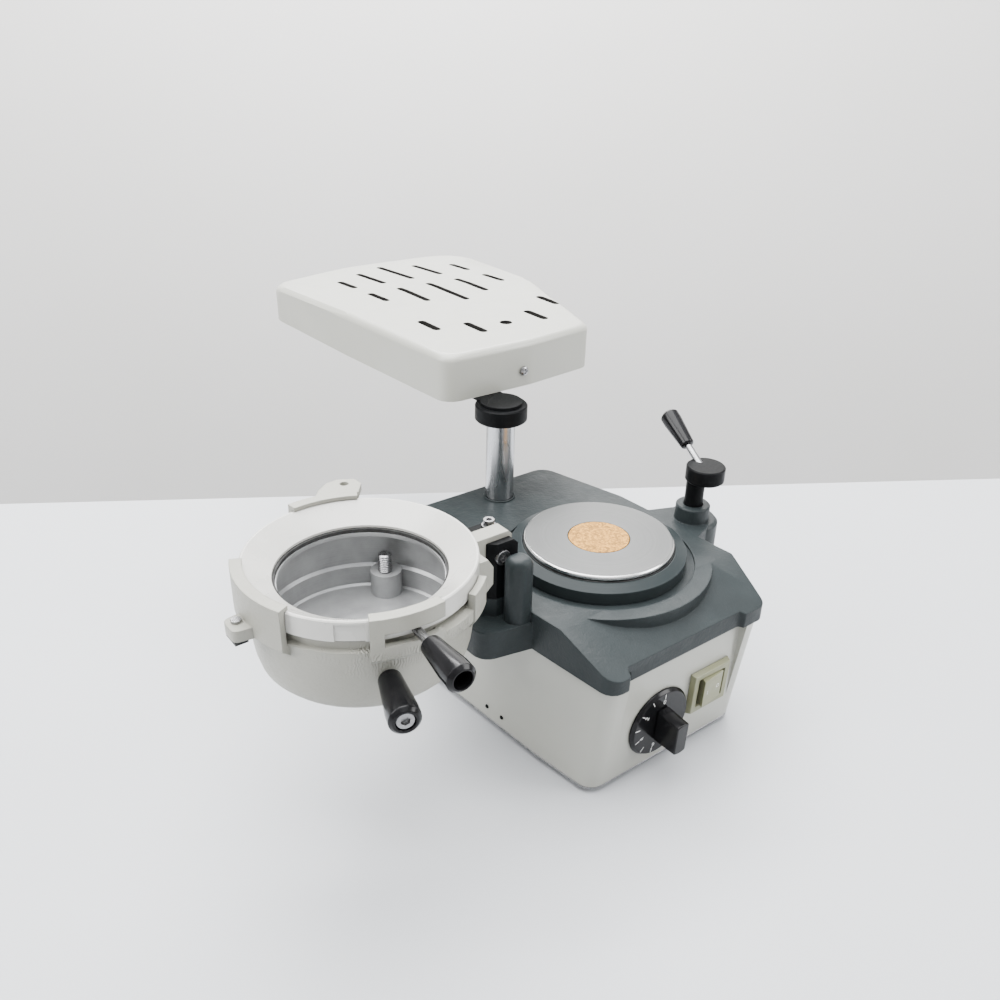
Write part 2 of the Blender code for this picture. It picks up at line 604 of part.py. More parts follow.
def claw(name, a0, a1):
    """A hook that stands outside the rim and reaches over the clamp ring."""
    profile = [(73 * MM, 178 * MM), (76 * MM, 178 * MM), (82.5 * MM, 184 * MM), (82.5 * MM, 213 * MM),
               (74.5 * MM, 213 * MM), (74.5 * MM, 210.2 * MM), (78 * MM, 210.2 * MM), (78 * MM, 187 * MM),
               (73 * MM, 187 * MM)]
    return turned(name, profile, CHAMBER_PAINT, (CHAMBER_X, 0, 0),
                  segments=max(4, int((a1 - a0) / 5)), span=(a0, a1))


def chamber_body():
    body = turned("chamber_body", [
        (0, CHAMBER_LOW), (58 * MM, CHAMBER_LOW), (66 * MM, 137 * MM), (70.5 * MM, 142 * MM),
        (72.6 * MM, 150 * MM), (76.8 * MM, 186.7 * MM), (73 * MM, 187.6 * MM), (73 * MM, RIM_Z),
        (55 * MM, RIM_Z), (55 * MM, 190.5 * MM), (66 * MM, 187 * MM), (67.5 * MM, 183 * MM),
        (67.5 * MM, 161 * MM),
        (65.5 * MM, 159 * MM), (64 * MM, 145.5 * MM), (62.5 * MM, 144 * MM), (0, 144 * MM)],
        CHAMBER_PAINT, (CHAMBER_X, 0, 0), segments=64)
    fuse(body, claw("claw", 154, 206), claw("claw", -116, -82), claw("claw", 62, 98))
    # the shelf under the lever's slot, and the post that stops the lever
    fuse(body, sector("shelf", 73.5 * MM, 82 * MM, 181.5 * MM, 190 * MM, -83, -58),
         turned("stop", [(73 * MM, 176 * MM), (79.5 * MM, 176 * MM), (83 * MM, 181 * MM), (83 * MM, 201 * MM),
                         (78 * MM, 201 * MM), (78 * MM, 191 * MM), (73 * MM, 191 * MM)], CHAMBER_PAINT,
                (CHAMBER_X, 0, 0), segments=6, span=(-61.3, -44.7)))
    # tab with a hole on the back claw, small lug beside it, and the latch lug
    tab = prism("tab", [tuple(polar(r * MM, a, 0)[:2]) for r, a in
                        ((80, 61.5), (94, 60), (102, 63), (103, 70), (99, 75), (90, 80), (80, 84))],
                207.5 * MM, 212.9 * MM)
    cut(tab, rod("hole", polar(95 * MM, 67.5, 0.2), polar(95 * MM, 67.5, 0.22), 3.2 * MM, CHAMBER_PAINT, 16))
    lug = rod("lug", polar(72 * MM, 109, 188.5 * MM), polar(94 * MM, 109, 188.5 * MM), 5.5 * MM,
              CHAMBER_PAINT, 20)
    fuse(body, tab, lug)
    latch = prism("latch", rounded([(CHAMBER_X - 78 * MM, -12 * MM, 0), (CHAMBER_X - 78 * MM, 8 * MM, 0),
                                    (CHAMBER_X - 93.5 * MM, 6 * MM, 4 * MM),
                                    (CHAMBER_X - 93.5 * MM, -10 * MM, 4 * MM)], 3), 183 * MM, 191 * MM)
    fuse(body, latch)
    # the arm that carries the chamber on the hinge pin, and its gusset
    eye_r = 12.5 * MM
    eye = [(FLIP_X + eye_r * math.cos(a), FLIP_Z + eye_r * math.sin(a))
           for a in (math.radians(d) for d in range(200, 361, 20))]
    arm_outline = [(-146 * MM, 191.5 * MM), (-146 * MM, 158 * MM), (-126 * MM, 166 * MM)] + eye + [
        (-94.5 * MM, 188.5 * MM), (-97.5 * MM, 191.5 * MM)]
    arm = slab("arm", arm_outline, -6.8 * MM, 6.8 * MM, CHAMBER_PAINT)
    gusset = slab("gusset", [(-150 * MM, 189 * MM), (-150 * MM, 160 * MM), (-132 * MM, 163 * MM),
                             (-126.5 * MM, 168 * MM), (-126.5 * MM, 182 * MM), (-131 * MM, 189 * MM)],
                  -28 * MM, -6 * MM, CHAMBER_PAINT)
    fuse(body, arm, gusset)
    cut(body, rod("bore", (FLIP_X, -20 * MM, FLIP_Z), (FLIP_X, 20 * MM, FLIP_Z), 6.25 * MM, CHAMBER_PAINT, 24))
    # air inlet boss on the floor, joined to the wall
    fuse(body, rod("boss", polar(57 * MM, 44, 143 * MM), polar(57 * MM, 44, 162.3 * MM), 11.3 * MM,
                   CHAMBER_PAINT, 22))
    # slot for the clamp ring's lever, and a flat for the handle
    cut(body, turned("slot", [(76.5 * MM, 193 * MM), (90 * MM, 193 * MM), (90 * MM, 202 * MM),
                              (76.5 * MM, 202 * MM)], CHAMBER_PAINT, (CHAMBER_X, 0, 0), segments=6,
                     span=(-110, -81)))
    return body


def clamp_ring():
    ring = turned("clamp_ring", [
        (OPENING_R, 196.2 * MM), (74 * MM, 196.2 * MM), (74.5 * MM, RING_LOW), (RING_R, RING_LOW),
        (RING_R, RING_TOP - 0.8 * MM), (RING_R - 0.8 * MM, RING_TOP), (75.5 * MM, RING_TOP),
        (62.8 * MM, 201.6 * MM), (OPENING_R, 198 * MM)], WHITE, (CHAMBER_X, 0, 0), segments=72)
    # shallow reliefs between the ring's three locking ramps
    for a0, a1 in ((-131.3, -117.7), (6.3, 58.7), (101.3, 148.7)):
        relief = turned("relief", [(RING_R - 1.2 * MM, 190 * MM), (RING_R + 5 * MM, 190 * MM),
                                   (RING_R + 5 * MM, RING_TOP - 2.5 * MM),
                                   (RING_R - 1.2 * MM, RING_TOP - 2.5 * MM)], WHITE, (CHAMBER_X, 0, 0),
                        segments=max(3, int((a1 - a0) / 6)), span=(a0, a1))
        cut(ring, relief)
    set_origin(ring, (CHAMBER_X, 0, 0))
    return ring


def chamber_fittings():
    turned("chamber_gasket", [(55.8 * MM, RIM_Z + GAP), (66 * MM, RIM_Z + GAP), (66 * MM, 195.9 * MM),
                              (55.8 * MM, 195.9 * MM)], RUBBER, (CHAMBER_X, 0, 0), segments=64)
    outward = polar(1, LEVER_ANGLE, 0) - polar(0, LEVER_ANGLE, 0)
    lever_z = 198 * MM
    root = polar(RING_R + GAP, LEVER_ANGLE, lever_z)
    rod("ring_lever_rod", root, root + outward * 17 * MM, 3 * MM, STEEL, 16)
    grip("ring_lever_grip", root + outward * (17 * MM + GAP), outward, 39 * MM, 6.8 * MM, 9.6 * MM,
         6.2 * MM, 14 * MM)
    handle = polar(1, HANDLE_ANGLE, 0) - polar(0, HANDLE_ANGLE, 0)
    foot = polar(76.5 * MM, HANDLE_ANGLE, 166 * MM)
    grip("chamber_handle_grip", foot, handle, 42 * MM, 7.6 * MM, 10.2 * MM, 6.2 * MM, 6 * MM)
    hex_screw("chamber_handle_screw", foot + handle * (36.3 * MM), handle, 5.6 * MM, 4.5 * MM)
    box("latch_pad", CHAMBER_X - 92.5 * MM, CHAMBER_X - 84 * MM, -9 * MM, 5 * MM, 180 * MM, 183 * MM - GAP,
        RUBBER)
    turned("air_inlet_screw", [(0, 162.3 * MM + GAP), (5 * MM, 162.3 * MM + GAP), (5 * MM, 164 * MM),
                               (3.2 * MM, 164.5 * MM), (3.2 * MM, 176 * MM), (2.4 * MM, 177 * MM),
                               (0, 177 * MM)], STEEL, tuple(polar(55 * MM, 44, 0)), segments=16)
    rod("latch_bolt", (CHAMBER_X - 87 * MM, 0, 191 * MM + GAP), (CHAMBER_X - 87 * MM, 0, 193 * MM),
        3.4 * MM, STEEL, 16)


# ---------------------------------------------------------------- hinge

def hinge():
    y0, y1 = -13 * MM, 19 * MM
    x0, x1 = -121 * MM, -93.3 * MM
    z0, z1 = 141 * MM + GAP, 187.5 * MM
    edge = 4 * MM
    profile = [(x0, z0), (x1, z0), (x1, z1 - edge), (x1 - edge, z1), (x0 + edge, z1), (x0, z1 - edge)]
    block = slab("hinge_block", profile, y0, y1, BLACK_METAL)
    cut(block,
        prism("chamfer", [(x0 - 2 * MM, y0 - 2 * MM), (x0 + 9 * MM, y0 - 2 * MM), (x0 + 9 * MM, y0),
                          (x0, y0 + 9 * MM), (x0 - 2 * MM, y0 + 9 * MM)], z0 - 5 * MM, z1 + 5 * MM),
        box("slot", x0 - 5 * MM, x1 + 5 * MM, -7.2 * MM, 7.2 * MM, 153.5 * MM, z1 + 5 * MM),
        rod("bore", (FLIP_X, y0 - 5 * MM, FLIP_Z), (FLIP_X, y1 + 5 * MM, FLIP_Z), 6.25 * MM, BLACK_METAL, 24))
    pin = rod("hinge_pin", (FLIP_X, y0 - 1.6 * MM, FLIP_Z), (FLIP_X, y1 + 1.6 * MM, FLIP_Z), 5.95 * MM, STEEL, 24)
    cut(pin, rod("socket", (FLIP_X, y0 - 5 * MM, FLIP_Z), (FLIP_X, y0 + 1.5 * MM, FLIP_Z), 3 * MM, STEEL, 6))
    spot = (-100.5 * MM, 13 * MM)
    turned("hinge_washer", [(2.5 * MM, z1 + GAP), (5.6 * MM, z1 + GAP), (5.6 * MM, z1 + 1.2 * MM),
                            (2.5 * MM, z1 + 1.2 * MM)], STEEL, (*spot, 0), segments=24)
    hex_screw("hinge_screw", (*spot, z1 + 1.2 * MM + GAP), (0, 0, 1), 4.2 * MM, 4 * MM)


# ---------------------------------------------------------------- lock post

def lock_post():
    shaft_top = 171.7 * MM
    turned("lock_shaft", [(0, 96 * MM), (8 * MM, 96 * MM), (8 * MM, shaft_top), (0, shaft_top)], BLACK_METAL,
           (LOCK_X, LOCK_Y, 0), segments=28)
    nut("lock_nut", (LOCK_X, LOCK_Y, 0), 13 * MM, 8 * MM + GAP, 97 * MM, COVER_LOW - GAP)
    centre = Vector((LOCK_X, LOCK_Y, 0)) + Vector((math.cos(math.radians(LOCK_REST)),
                                                  math.sin(math.radians(LOCK_REST)), 0)) * LOCK_OFFSET
    z0, z1 = shaft_top + GAP, 185.5 * MM
    edge = 1 * MM
    head = turned("lock_head", [(0, z0), (16.5 * MM - edge, z0), (16.5 * MM, z0 + edge),
                                (16.5 * MM, z1 - edge), (16.5 * MM - edge, z1), (0, z1)], BLACK_METAL,
                  tuple(centre), segments=40)
    direction = Vector((0.16, 0.87, 0.47)).normalized()
    root = Vector((centre.x, centre.y, 178.5 * MM))
    cut(head, rod("bore", root, root + direction * 30 * MM, 3.3 * MM, BLACK_METAL, 16))
    rod("lock_lever_rod", root + direction * 0.5 * MM, root + direction * 30 * MM, 3 * MM, STEEL, 16)
    grip("lock_lever_grip", root + direction * (30 * MM + GAP), direction, 37 * MM, 6 * MM, 8.2 * MM)
    for name in ("lock_head", "lock_lever_rod", "lock_lever_grip", "lock_shaft", "lock_nut"):
        set_origin(bpy.data.objects[name], (LOCK_X, LOCK_Y, 0))


# ---------------------------------------------------------------- front controls

def front_frame(x, z):
    """An empty on the recessed front face, its -Y pointing straight out of the face."""
    lean = math.atan2(PANEL_FOOT_Y - PANEL_TOP_Y, HOUSING_TOP - BOTTOM_T)
    frame = bpy.data.objects.new("front_frame", None)
    bpy.context.scene.collection.objects.link(frame)
    frame.location = (x, panel_y(z), z)
    frame.rotation_euler = (lean, 0, 0)
    return frame


def hang(parent, *names):
    for name in names:
        bpy.data.objects[name].parent = parent


def timer():
    frame = front_frame(DIAL_X, DIAL_Z)
    out = (0, -1, 0)
    turned("dial_skirt", [(0, GAP), (DIAL_R, GAP), (DIAL_R, 1.5 * MM), (DIAL_R - 2 * MM, 4 * MM), (0, 4 * MM)],
           BLACK_PLASTIC, (0, 0, 0), out, 48)
    r, half = 15 * MM, 6 * MM
    knob = turned("dial_knob", [(0, 4 * MM + GAP), (r, 4 * MM + GAP), (r - 1 * MM, 26 * MM), (0, 26 * MM)],
                  BLACK_PLASTIC, (0, 0, 0), out, 40)
    for side in (-1, 1):
        cut(knob, box("side", min(side * half, side * 30 * MM), max(side * half, side * 30 * MM),
                      -40 * MM, -4 * MM, -30 * MM, 30 * MM))
    cut(knob, slab("slope", [(-30 * MM, 15 * MM), (30 * MM, 15 * MM), (30 * MM, 40 * MM), (-30 * MM, 40 * MM)],
                   -40 * MM, -4 * MM))
    hang(frame, "dial_skirt", "dial_knob")
    rod("timer_shaft", (0, -GAP + 1 * MM, 0), (0, 12 * MM, 0), 3 * MM, STEEL, 16)
    box("timer_body", -22 * MM, 22 * MM, 12 * MM + GAP, 40 * MM, -22 * MM, 22 * MM, INSULATOR)
    hang(frame, "timer_shaft", "timer_body")


def power_switch():
    frame = front_frame(SWITCH_X, SWITCH_Z)
    w, h = 21 * MM, 19.5 * MM
    bezel = loft("switch_frame", [(x, -GAP, z) for x, z in ((-w, -h), (w, -h), (w, h), (-w, h))],
                 [(x, -5 * MM, z) for x, z in ((-w + 1.5 * MM, -h + 1.5 * MM), (w - 1.5 * MM, -h + 1.5 * MM),
                                               (w - 1.5 * MM, h - 1.5 * MM), (-w + 1.5 * MM, h - 1.5 * MM))],
                 BEIGE)
    fuse(bezel, box("body", -16 * MM, 16 * MM, -1 * MM, 26 * MM, -14.7 * MM, 14.7 * MM, BEIGE))
    cut(bezel, box("well", -14.6 * MM, 14.6 * MM, -9 * MM, 15 * MM, -13.2 * MM, 13.2 * MM, BEIGE))
    rocker = slab("switch_rocker", [(-12 * MM, -12.7 * MM), (12 * MM, -12.7 * MM),
                                    (12 * MM, 12.7 * MM), (-12 * MM, 12.7 * MM)], -4 * MM, 6 * MM, BEIGE)
    for vertex in rocker.data.vertices:
        if vertex.co.y < 0:
            vertex.co.y = -7.3 * MM + ROCKER_TILT * vertex.co.x
        else:
            vertex.co.x *= 0.55
    hang(frame, "switch_frame", "switch_rocker")


# ---------------------------------------------------------------- rear connectors and inside

def rear_and_inside():
    back = 146 * MM
    inlet = box("mains_inlet", -24 * MM, 24 * MM, back + GAP, back + 3 * MM, 29 * MM, 53 * MM, BLACK_PLASTIC)
    fuse(inlet, box("body", -13.5 * MM, 13.5 * MM, back - 18 * MM, back + 1 * MM, 31.5 * MM, 50.5 * MM))
    cut(inlet, box("socket", -11.5 * MM, 11.5 * MM, back - 14 * MM, back + 9 * MM, 33.5 * MM, 48.5 * MM))
    for index, x in enumerate((-4.5, 0, 4.5), 1):
        box(f"inlet_pin_{index}", (x - 1) * MM, (x + 1) * MM, back - 13.7 * MM, back - 1 * MM,
            (44.5 if x == 0 else 41) * MM, (47 if x == 0 else 43.5) * MM, BRASS)
    turned("air_connector", [(2.5 * MM, -12 * MM), (5.9 * MM, -12 * MM), (5.9 * MM, 2 * GAP), (9 * MM, 2 * GAP),
                             (9 * MM, 6 * MM), (5.5 * MM, 6 * MM), (5.5 * MM, 16 * MM), (2.5 * MM, 16 * MM)],
           BRASS, (-60 * MM, back, 40 * MM), (0, 1, 0), 24)
    box("solenoid_valve", -76 * MM, -44 * MM, 92 * MM, 122 * MM, BOTTOM_T + GAP, 44 * MM, INSULATOR)
    box("terminal_block", -10 * MM, 40 * MM, 60 * MM, 80 * MM, BOTTOM_T + GAP, 18 * MM, CERAMIC)
    box("power_transformer", -60 * MM, 10 * MM, -30 * MM, 40 * MM, BOTTOM_T + GAP, 60 * MM, STEEL)
    turned("pressure_regulator", [(0, 20 * MM), (16 * MM, 20 * MM), (16 * MM, 48 * MM), (10 * MM, 52 * MM),
                                  (10 * MM, 66 * MM), (0, 66 * MM)], BRASS, (50 * MM, 20 * MM, 0), segments=24)


base_housing()
bottom_plate()
side_screws()
feet()
top_cover()
platform()
column()
swing_collar()
heater_shell()
heater_inside()
heater_screws()
chamber_body()
clamp_ring()
chamber_fittings()
hinge()
lock_post()
timer()
power_switch()
rear_and_inside()
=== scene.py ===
"""Looks of the pressure moulding machine: its finishes, its fine detail, and the stage it stands on."""

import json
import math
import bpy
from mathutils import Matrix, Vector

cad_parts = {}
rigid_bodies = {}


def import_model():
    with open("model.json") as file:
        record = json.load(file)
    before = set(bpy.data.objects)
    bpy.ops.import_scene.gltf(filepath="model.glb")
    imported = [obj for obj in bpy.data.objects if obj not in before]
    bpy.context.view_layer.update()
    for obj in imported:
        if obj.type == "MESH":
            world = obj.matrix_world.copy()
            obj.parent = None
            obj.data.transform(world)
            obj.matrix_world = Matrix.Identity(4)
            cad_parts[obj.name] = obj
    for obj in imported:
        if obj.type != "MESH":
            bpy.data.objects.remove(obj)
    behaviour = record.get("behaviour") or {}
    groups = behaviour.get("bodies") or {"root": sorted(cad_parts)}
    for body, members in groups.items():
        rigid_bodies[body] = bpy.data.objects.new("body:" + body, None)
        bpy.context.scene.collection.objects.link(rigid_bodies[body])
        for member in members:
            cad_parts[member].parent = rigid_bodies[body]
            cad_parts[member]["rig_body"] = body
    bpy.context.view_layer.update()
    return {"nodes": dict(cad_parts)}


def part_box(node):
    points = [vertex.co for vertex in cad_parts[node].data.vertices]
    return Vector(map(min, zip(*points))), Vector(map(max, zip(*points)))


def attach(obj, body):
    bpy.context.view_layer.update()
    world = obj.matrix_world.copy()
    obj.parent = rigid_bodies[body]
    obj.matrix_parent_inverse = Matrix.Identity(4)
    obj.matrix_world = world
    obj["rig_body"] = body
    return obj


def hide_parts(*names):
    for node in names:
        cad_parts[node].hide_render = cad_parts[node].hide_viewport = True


bl_info = {
    "name": "Pressure moulding machine",
    "version": (1, 0, 0),
    "blender": (4, 5, 0),
    "location": "3D View > Sidebar > Moulding",
    "description": "Finishes and fine detail for a bench machine that moulds heated foils under air pressure",
    "category": "Object",
}

import bmesh
import bpy
from bpy.props import FloatProperty, FloatVectorProperty, IntProperty, PointerProperty
from mathutils import Matrix, Vector

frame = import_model()

MM = 0.001
CHAMBER_AXIS = (-0.214, 0.0)      # x and y
CAVITY_R = 0.0679                 # the chamber is bare metal inside this radius
CAVITY_Z = (0.1435, 0.1931)       # and between these heights
CHATTER_Z = (0.166, 0.183, 0.188, 0.1905)   # tool marks start, are full, and fade again at these heights
POST_BOX = ((-0.112, -0.089), (-0.034, -0.014))   # x and y of the stop post beside the hinge
POST_FOOT_Z = 0.14                # edges below this height aren't the post's
PLATE_RIM_R = 58.0 * MM           # the model plate's rim lies outside this radius: polished, with a painted highlight
PLATE_RIM_Z = 148.5 * MM          # and above this height
FLANGE_INNER_R = 12.9 * MM        # the column flange keeps its shape inside this radius
FLANGE_WIDTH = 0.4                # outside it, this share of the flange's width shows
FLANGE_HEIGHT = 0.35              # share of the flange's height that shows
CROWN_Z = 0.25                    # the edges of the heater's crown lie above this height
HEATER_BEND_Y = 0.34              # behind this the heater's top slopes down
HEATER_SLOPE = 0.05
VENT_Z = 0.2628                   # upright faces above this height are walls of the heater's vents, painted dark as shade
CEILING_Z = 0.24                  # faces above this that look down are the heater's ceiling, painted dark as shade
EDGE_ALIKE = (0.97, 0.7)          # how alike the two normals are at an edge's start and on the edge
DIAL_CENTRE = (-0.0214, 0.044)    # x and z on the front panel
PANEL_LEAN = math.radians(1.826)
PANEL_TOP = (-0.1026, 0.1024)     # y and z of the front panel's top edge
SKIRT_FACE = 4.0 * MM             # the dial skirt's face stands this far out of the panel
ROCKER_CENTRE = (0.0312, 0.0543)  # x and z on the front panel
ROCKER_FACE = 7.3 * MM            # the rocker's face stands this far out of the panel at its middle
ROCKER_TILT = 0.12                # slope of its face from side to side
FIRST_MARK = 87.0                 # degrees round the dial
MARK_R = 25.0 * MM
MARK_LENGTHS = (4.2, 4.8)         # in millimetres, of marks with and without a number
NUMERAL_R = 20.0 * MM
PRINT_LIFT = 0.02 * MM            # print stands this far out of its face
ROCKER_PRINT_HEIGHT = 5.0 * MM
ROCKER_PRINT = (("I", "rocker_mark_on", -7.0 * MM), ("O", "rocker_mark_off", 6.5 * MM))
TABLE_SIZE = (6.0, 4.0, 0.04)
TABLE_TURN = math.radians(-31.4)
TABLE_EDGE = (0.2, 0.3275, -0.0242)   # a point on the table's far edge, at half its thickness
BACKDROP_R = 4.5
BACKDROP_HEIGHT = 9.0
CAMERA_PLACE = (-0.463139, -0.470631, 0.529)
CAMERA_RIGHT = (0.799029, -0.600905, 0.021592)
CAMERA_UP = (0.266063, 0.385532, 0.883502)
CAMERA_AHEAD = (0.539225, 0.700198, -0.467930)


# ---------------------------------------------------------------- finishes

def paint(red, green, blue):
    """A display colour, 0 to 255, as the linear colour that a shader takes."""
    def linear(value):
        share = value / 255
        return share / 12.92 if share <= 0.04045 else ((share + 0.055) / 1.055) ** 2.4
    return (linear(red), linear(green), linear(blue))


class Finish:
    """One surface finish, worked out from the object's own coordinates in metres."""

    def __init__(self, name, metallic=0.0, coat=0.0, specular=0.5):
        self.material = bpy.data.materials.new(name)
        self.material.use_nodes = True
        tree = self.material.node_tree
        self.nodes, self.links = tree.nodes, tree.links
        self.shader = self.nodes["Principled BSDF"]
        self.place = self.nodes.new("ShaderNodeTexCoord").outputs["Object"]
        self.facing = self.nodes.new("ShaderNodeNewGeometry").outputs["Normal"]
        self.shader.inputs["Metallic"].default_value = metallic
        self.shader.inputs["Coat Weight"].default_value = coat
        self.shader.inputs["Coat Roughness"].default_value = 0.12
        self.shader.inputs["Specular IOR Level"].default_value = specular

    def give(self, socket, value):
        """Links a socket to a socket, or sets it to a value."""
        if isinstance(value, bpy.types.NodeSocket):
            self.links.new(value, socket)
        elif isinstance(value, tuple) and len(value) == 3 and socket.type == "RGBA":
            socket.default_value = (*value, 1.0)
        else:
            socket.default_value = value

    def place_scaled(self, scale, centre=(0, 0, 0)):
        """The object's coordinates, measured from centre and scaled along each axis."""
        node = self.nodes.new("ShaderNodeMapping")
        self.give(node.inputs["Vector"], self.place)
        node.inputs["Location"].default_value = [-c * s for c, s in zip(centre, scale)]
        node.inputs["Scale"].default_value = scale
        return node.outputs["Vector"]

    def turned(self, centre, fine):
        """Coordinates for lathe marks about an upright axis: distance from the axis, and height."""
        flat = self.nodes.new("ShaderNodeVectorMath")
        flat.operation = "LENGTH"
        self.give(flat.inputs[0], self.place_scaled((1, 1, 0), (*centre, 0)))
        split = self.nodes.new("ShaderNodeSeparateXYZ")
        self.give(split.inputs[0], self.place)
        join = self.nodes.new("ShaderNodeCombineXYZ")
        self.give(join.inputs[0], self.maths("MULTIPLY", flat.outputs["Value"], fine))
        self.give(join.inputs[1], self.maths("MULTIPLY", split.outputs["Z"], fine))
        return join.outputs[0]

    def noise(self, scale, detail=2.0, roughness=0.5, place=None):
        """Soft noise from 0 to 1. scale is roughly the number of lumps in one unit of place."""
        node = self.nodes.new("ShaderNodeTexNoise")
        self.give(node.inputs["Vector"], place or self.place)
        node.inputs["Scale"].default_value = scale
        node.inputs["Detail"].default_value = detail
        node.inputs["Roughness"].default_value = roughness
        return node.outputs["Fac"]

    def cells(self, scale, output="Distance"):
        """Distance from the middles of scattered cells, or a random colour for each cell."""
        node = self.nodes.new("ShaderNodeTexVoronoi")
        self.give(node.inputs["Vector"], self.place)
        node.inputs["Scale"].default_value = scale
        return node.outputs[output]

    def waves(self, scale, distortion):
        """Bands across X, from 0 to 1."""
        node = self.nodes.new("ShaderNodeTexWave")
        node.bands_direction = "X"
        self.give(node.inputs["Vector"], self.place)
        node.inputs["Scale"].default_value = scale
        node.inputs["Distortion"].default_value = distortion
        node.inputs["Detail"].default_value = 2.0
        return node.outputs["Fac"]

    def span(self, value, start, end, low=0.0, high=1.0):
        """Brings a value that runs from start to end to one that runs from low to high, and stops there."""
        node = self.nodes.new("ShaderNodeMapRange")
        for socket, number in zip(node.inputs, (value, start, end, low, high)):
            self.give(socket, number)
        return node.outputs["Result"]

    def maths(self, operation, first, second):
        """One arithmetic step on two values."""
        node = self.nodes.new("ShaderNodeMath")
        node.operation = operation
        self.give(node.inputs[0], first)
        self.give(node.inputs[1], second)
        return node.outputs["Value"]

    def part_of(self, vector, axis):
        """One axis of a vector."""
        node = self.nodes.new("ShaderNodeSeparateXYZ")
        self.give(node.inputs[0], vector)
        return node.outputs[axis]

    def mix(self, share, first, second):
        """The first colour, with a share of the second."""
        node = self.nodes.new("ShaderNodeMix")
        node.data_type = "RGBA"
        self.give(node.inputs[0], share)
        self.give(node.inputs[6], first)
        self.give(node.inputs[7], second)
        return node.outputs[2]

    def edges(self, radius):
        """How much a point lies on an edge, from 0 to 1."""
        soft = self.nodes.new("ShaderNodeBevel")
        soft.samples = 4
        soft.inputs["Radius"].default_value = radius
        alike = self.nodes.new("ShaderNodeVectorMath")
        alike.operation = "DOT_PRODUCT"
        self.give(alike.inputs[0], soft.outputs["Normal"])
        self.give(alike.inputs[1], self.facing)
        return self.span(alike.outputs["Value"], *EDGE_ALIKE)

    def bump(self, *layers, soften=0.0):
        """Adds relief to the surface. Each layer is a height from 0 to 1 and its depth in metres."""
        normal = None
        if soften:
            soft = self.nodes.new("ShaderNodeBevel")
            soft.samples = 4
            soft.inputs["Radius"].default_value = soften
            normal = soft.outputs["Normal"]
        for height, depth in layers:
            node = self.nodes.new("ShaderNodeBump")
            node.inputs["Distance"].default_value = depth
            self.give(node.inputs["Height"], height)
            if normal:
                self.give(node.inputs["Normal"], normal)
            normal = node.outputs["Normal"]
        self.give(self.shader.inputs["Normal"], normal)

    def colour(self, value):
        """Sets the base colour."""
        self.give(self.shader.inputs["Base Color"], value)

    def rough(self, value):
        """Sets the roughness."""
        self.give(self.shader.inputs["Roughness"], value)


def tone(colour, factor):
    """A colour made darker or lighter by factor."""
    return tuple(min(1.0, channel * factor) for channel in colour)


def enamel(colour):
    """Stoved enamel on sheet steel: a faint orange peel, darker in patches towards the bottom, edges a little
    rubbed.
    """
    f = Finish("white_enamel", coat=0.15)
    patches = f.span(f.noise(9, 3), 0.3, 0.7)
    base = f.mix(patches, tone(colour, 0.965), colour)
    height = f.part_of(f.place, "Z")
    # darker in patches over the lowest 20 mm, towards the bottom
    patchy_layer = f.maths("MULTIPLY", f.span(height, 0.02, 0.0), f.span(f.noise(70, 4), 0.35, 0.7))
    base = f.mix(f.maths("MULTIPLY", patchy_layer, 0.35), base, tone(colour, 0.72))
    rubbed = f.maths("MULTIPLY", f.edges(0.0011), f.span(f.noise(160, 4, 0.65), 0.5, 0.66))
    base = f.mix(f.maths("MULTIPLY", rubbed, 0.35), base, tone(colour, 0.6))
    f.colour(base)
    f.rough(f.span(f.noise(45, 3), 0.3, 0.7, 0.28, 0.4))
    f.bump((f.noise(420, 2), 0.00003), (f.noise(26, 2), 0.00012))
    return f.material


def cover_paint(colour):
    """Textured satin paint on an aluminium casting, with dust on what faces up and lighter edges."""
    f = Finish("grey_green_paint", specular=0.16)
    base = f.mix(f.span(f.noise(14, 4), 0.3, 0.7), tone(colour, 0.9), tone(colour, 1.06))
    up = f.span(f.part_of(f.facing, "Z"), 0.7, 1.0)
    patchy_layer = f.maths("MULTIPLY", up, f.span(f.noise(38, 5, 0.6), 0.42, 0.75))
    base = f.mix(f.maths("MULTIPLY", patchy_layer, 0.16), base, tone(colour, 2.4))
    rubbed = f.maths("MULTIPLY", f.edges(0.0014), f.span(f.noise(90, 4, 0.6), 0.38, 0.62))
    base = f.mix(f.maths("MULTIPLY", rubbed, 0.45), base, tone(colour, 2.6))
    f.colour(base)
    f.rough(f.span(f.noise(55, 3), 0.3, 0.7, 0.36, 0.5))
    f.bump((f.noise(620, 2), 0.00016), (f.noise(170, 3), 0.00024), (f.noise(32, 2), 0.0003), soften=0.0016)
    return f.material


def cone_paint(colour):
    """The same paint on a turned face: smoother, with faint rings left by the tool."""
    f = Finish("turned_grey_green_paint", specular=0.1)
    rings = f.noise(1.0, 2, place=f.turned((0, 0), 900))
    base = f.mix(f.span(rings, 0.3, 0.7), tone(colour, 0.95), tone(colour, 1.12))
    rubbed = f.maths("MULTIPLY", f.edges(0.0009), f.span(f.noise(120, 4), 0.4, 0.6))
    f.colour(f.mix(f.maths("MULTIPLY", rubbed, 0.5), base, tone(colour, 3.0)))
    f.rough(f.span(f.noise(60, 3), 0.3, 0.7, 0.3, 0.4))
    f.bump((rings, 0.00002), (f.noise(500, 2), 0.00002))
    return f.material


